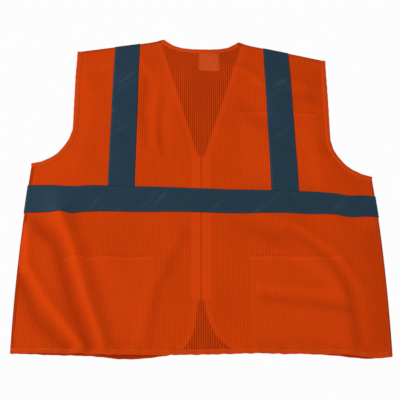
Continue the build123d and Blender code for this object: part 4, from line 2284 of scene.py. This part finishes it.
@dataclass(frozen=True)
class Studio:
    """Camera, lights, sky and floor."""

    target: tuple[float, float, float]
    lamps: tuple[Lamp, ...] = (
        Lamp("key", (-1.9, -1.35, 0.7), 1.0, 42.0),
        Lamp("fill", (1.6, -2.1, -0.3), 1.6, 13.0),
        Lamp("front_key", (1.7, 1.5, 0.8), 1.0, 44.0),
        Lamp("front_fill", (-1.3, 2.3, -0.2), 1.6, 12.0),
    )
    distance: float = 1.835
    elevation: float = -28.4
    lens: float = 88.7
    floor_height: float = -1.45
    floor_reach: float = 60.0
    sky: float = 0.98
    shade: float = 0.31

    def build(self) -> None:
        """Makes everything round the vest."""
        self._camera()
        for lamp in self.lamps:
            self._light(lamp)
        self._sky()
        bpy.context.scene.view_settings.view_transform = "Standard"
        self._floor()

    def _sky(self) -> None:
        """A white surround that lights the vest only gently, so that its folds keep their shade."""
        world = bpy.data.worlds.new("sky")
        bpy.context.scene.world = world
        world.use_nodes = True
        tree = world.node_tree
        rays = tree.nodes.new("ShaderNodeLightPath")
        strength = tree.nodes.new("ShaderNodeMapRange")
        strength.inputs["To Min"].default_value = self.shade
        strength.inputs["To Max"].default_value = self.sky
        tree.links.new(rays.outputs["Is Camera Ray"], strength.inputs["Value"])
        tree.links.new(strength.outputs["Result"], tree.nodes["Background"].inputs["Strength"])
        tree.nodes["Background"].inputs["Color"].default_value = (1.0, 1.0, 1.0, 1.0)

    def _camera(self) -> None:
        """The camera, below the vest and looking up at its back."""
        data = bpy.data.cameras.new("camera")
        data.lens = self.lens
        camera = bpy.data.objects.new("camera", data)
        bpy.context.scene.collection.objects.link(camera)
        rise = math.radians(self.elevation)
        back = Vector((0.0, -math.cos(rise), math.sin(rise)))
        camera.location = Vector(self.target) + back * self.distance
        camera.rotation_euler = (-back).to_track_quat("-Z", "Y").to_euler()
        bpy.context.scene.camera = camera

    def _light(self, lamp: Lamp) -> None:
        """Sets up one lamp, aimed at the vest.

        Args:
            lamp: The lamp.
        """
        data = bpy.data.lights.new(lamp.name, "AREA")
        data.size = lamp.size
        data.energy = lamp.power
        light = bpy.data.objects.new(lamp.name, data)
        bpy.context.scene.collection.objects.link(light)
        light.location = lamp.place
        aim = Vector(self.target) - Vector(lamp.place)
        light.rotation_euler = aim.to_track_quat("-Z", "Y").to_euler()

    def _floor(self) -> None:
        """A wide plain floor below the vest."""
        mesh = bpy.data.meshes.new("floor")
        corners = rectangle(-self.floor_reach, -self.floor_reach, self.floor_reach, self.floor_reach)
        mesh.from_pydata([(x, y, self.floor_height) for x, y in corners], [], [(0, 1, 2, 3)])
        floor = bpy.data.objects.new("floor", mesh)
        bpy.context.scene.collection.objects.link(floor)
        floor.data.materials.append(StudioFloor().build())


# ---------------------------------------------------------------- assembly


def glimpses_through_back() -> tuple[Glimpse, ...]:
    """What is painted into the back's openings: pockets, zip tapes and label as they look in the shade behind
    the back, with a painted shadow above each pocket's top and down the middle of the zip.

    Returns:
        The painted rectangles, each one over those before it.
    """
    # painted shade: each colour is a part behind the back as it looks in the gap's shade; the darkest is a
    # painted shadow
    pocket, line, gap_shadow = (0.435, 0.036, 0.002), (0.53, 0.044, 0.003), (0.25, 0.018, 0.001)
    found = []
    groups = (("left_lower_pocket",), ("right_lower_pocket",), ("chest_pocket_side", "chest_pocket_flap"))
    for nodes in groups:
        (low_x, low_z), (high_x, high_z) = joint_box(nodes)
        found.append(Glimpse((low_x, high_z), (high_x, high_z + 2.5 * MM), gap_shadow))
        found.append(Glimpse((low_x, low_z), (high_x, high_z), pocket))
        found.append(Glimpse((low_x, high_z - 7 * MM), (high_x, high_z), line))
    tape_low, tape_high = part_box("right_zip_tape")
    drop = 12 * MM
    for half, colour in ((tape_high.x, line), (0.9 * MM, gap_shadow)):
        found.append(Glimpse((-half, tape_low.z - drop), (half, tape_high.z - drop), colour))
    label_low, label_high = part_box("neck_label")
    salmon = (0.47, 0.085, 0.027)
    found.append(Glimpse((label_low.x, label_low.z - 3 * MM), (label_high.x, label_high.z), salmon))
    return tuple(found)


def main() -> None:
    """Builds the vest and its studio."""
    logging.basicConfig(level=logging.INFO, format="%(message)s")
    cut = Cut.from_frame()
    drape = Drape.from_frame(cut)
    tape_low, tape_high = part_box("back_waist_tape")
    finishes = Finishes.make(tape_high.z - tape_low.z, glimpses_through_back())
    shop = Workshop(cut, drape, finishes, Edging())
    Studio(target=(-0.002, -drape.middle_gap, -0.368)).build()
    BackSheet(shop).build()
    Tapes.from_frame(shop).build()
    for side, word in SIDES:
        ArmholeEdge(shop).build(side, word)
        Seams(shop).build(side, word)
        FrontSheet(shop).build(side, word)
        nodes, mouths = (f"{word}_lower_pocket",), (f"{word}_lower_pocket_mouth",)
        PatchPocket(shop, f"{word}_pocket_patch", side, nodes, mouths, folds=False).build()
    parts = ("side", "flap")
    nodes = tuple(f"chest_pocket_{part}" for part in parts)
    mouths = tuple(f"chest_pocket_mouth_{part}" for part in parts)
    PatchPocket(shop, "chest_pocket_patch", 1.0, nodes, mouths, folds=True).build()
    ZipFastener(shop).build()
    NeckLabel(shop).build()


if __name__ == "__main__":
    main()
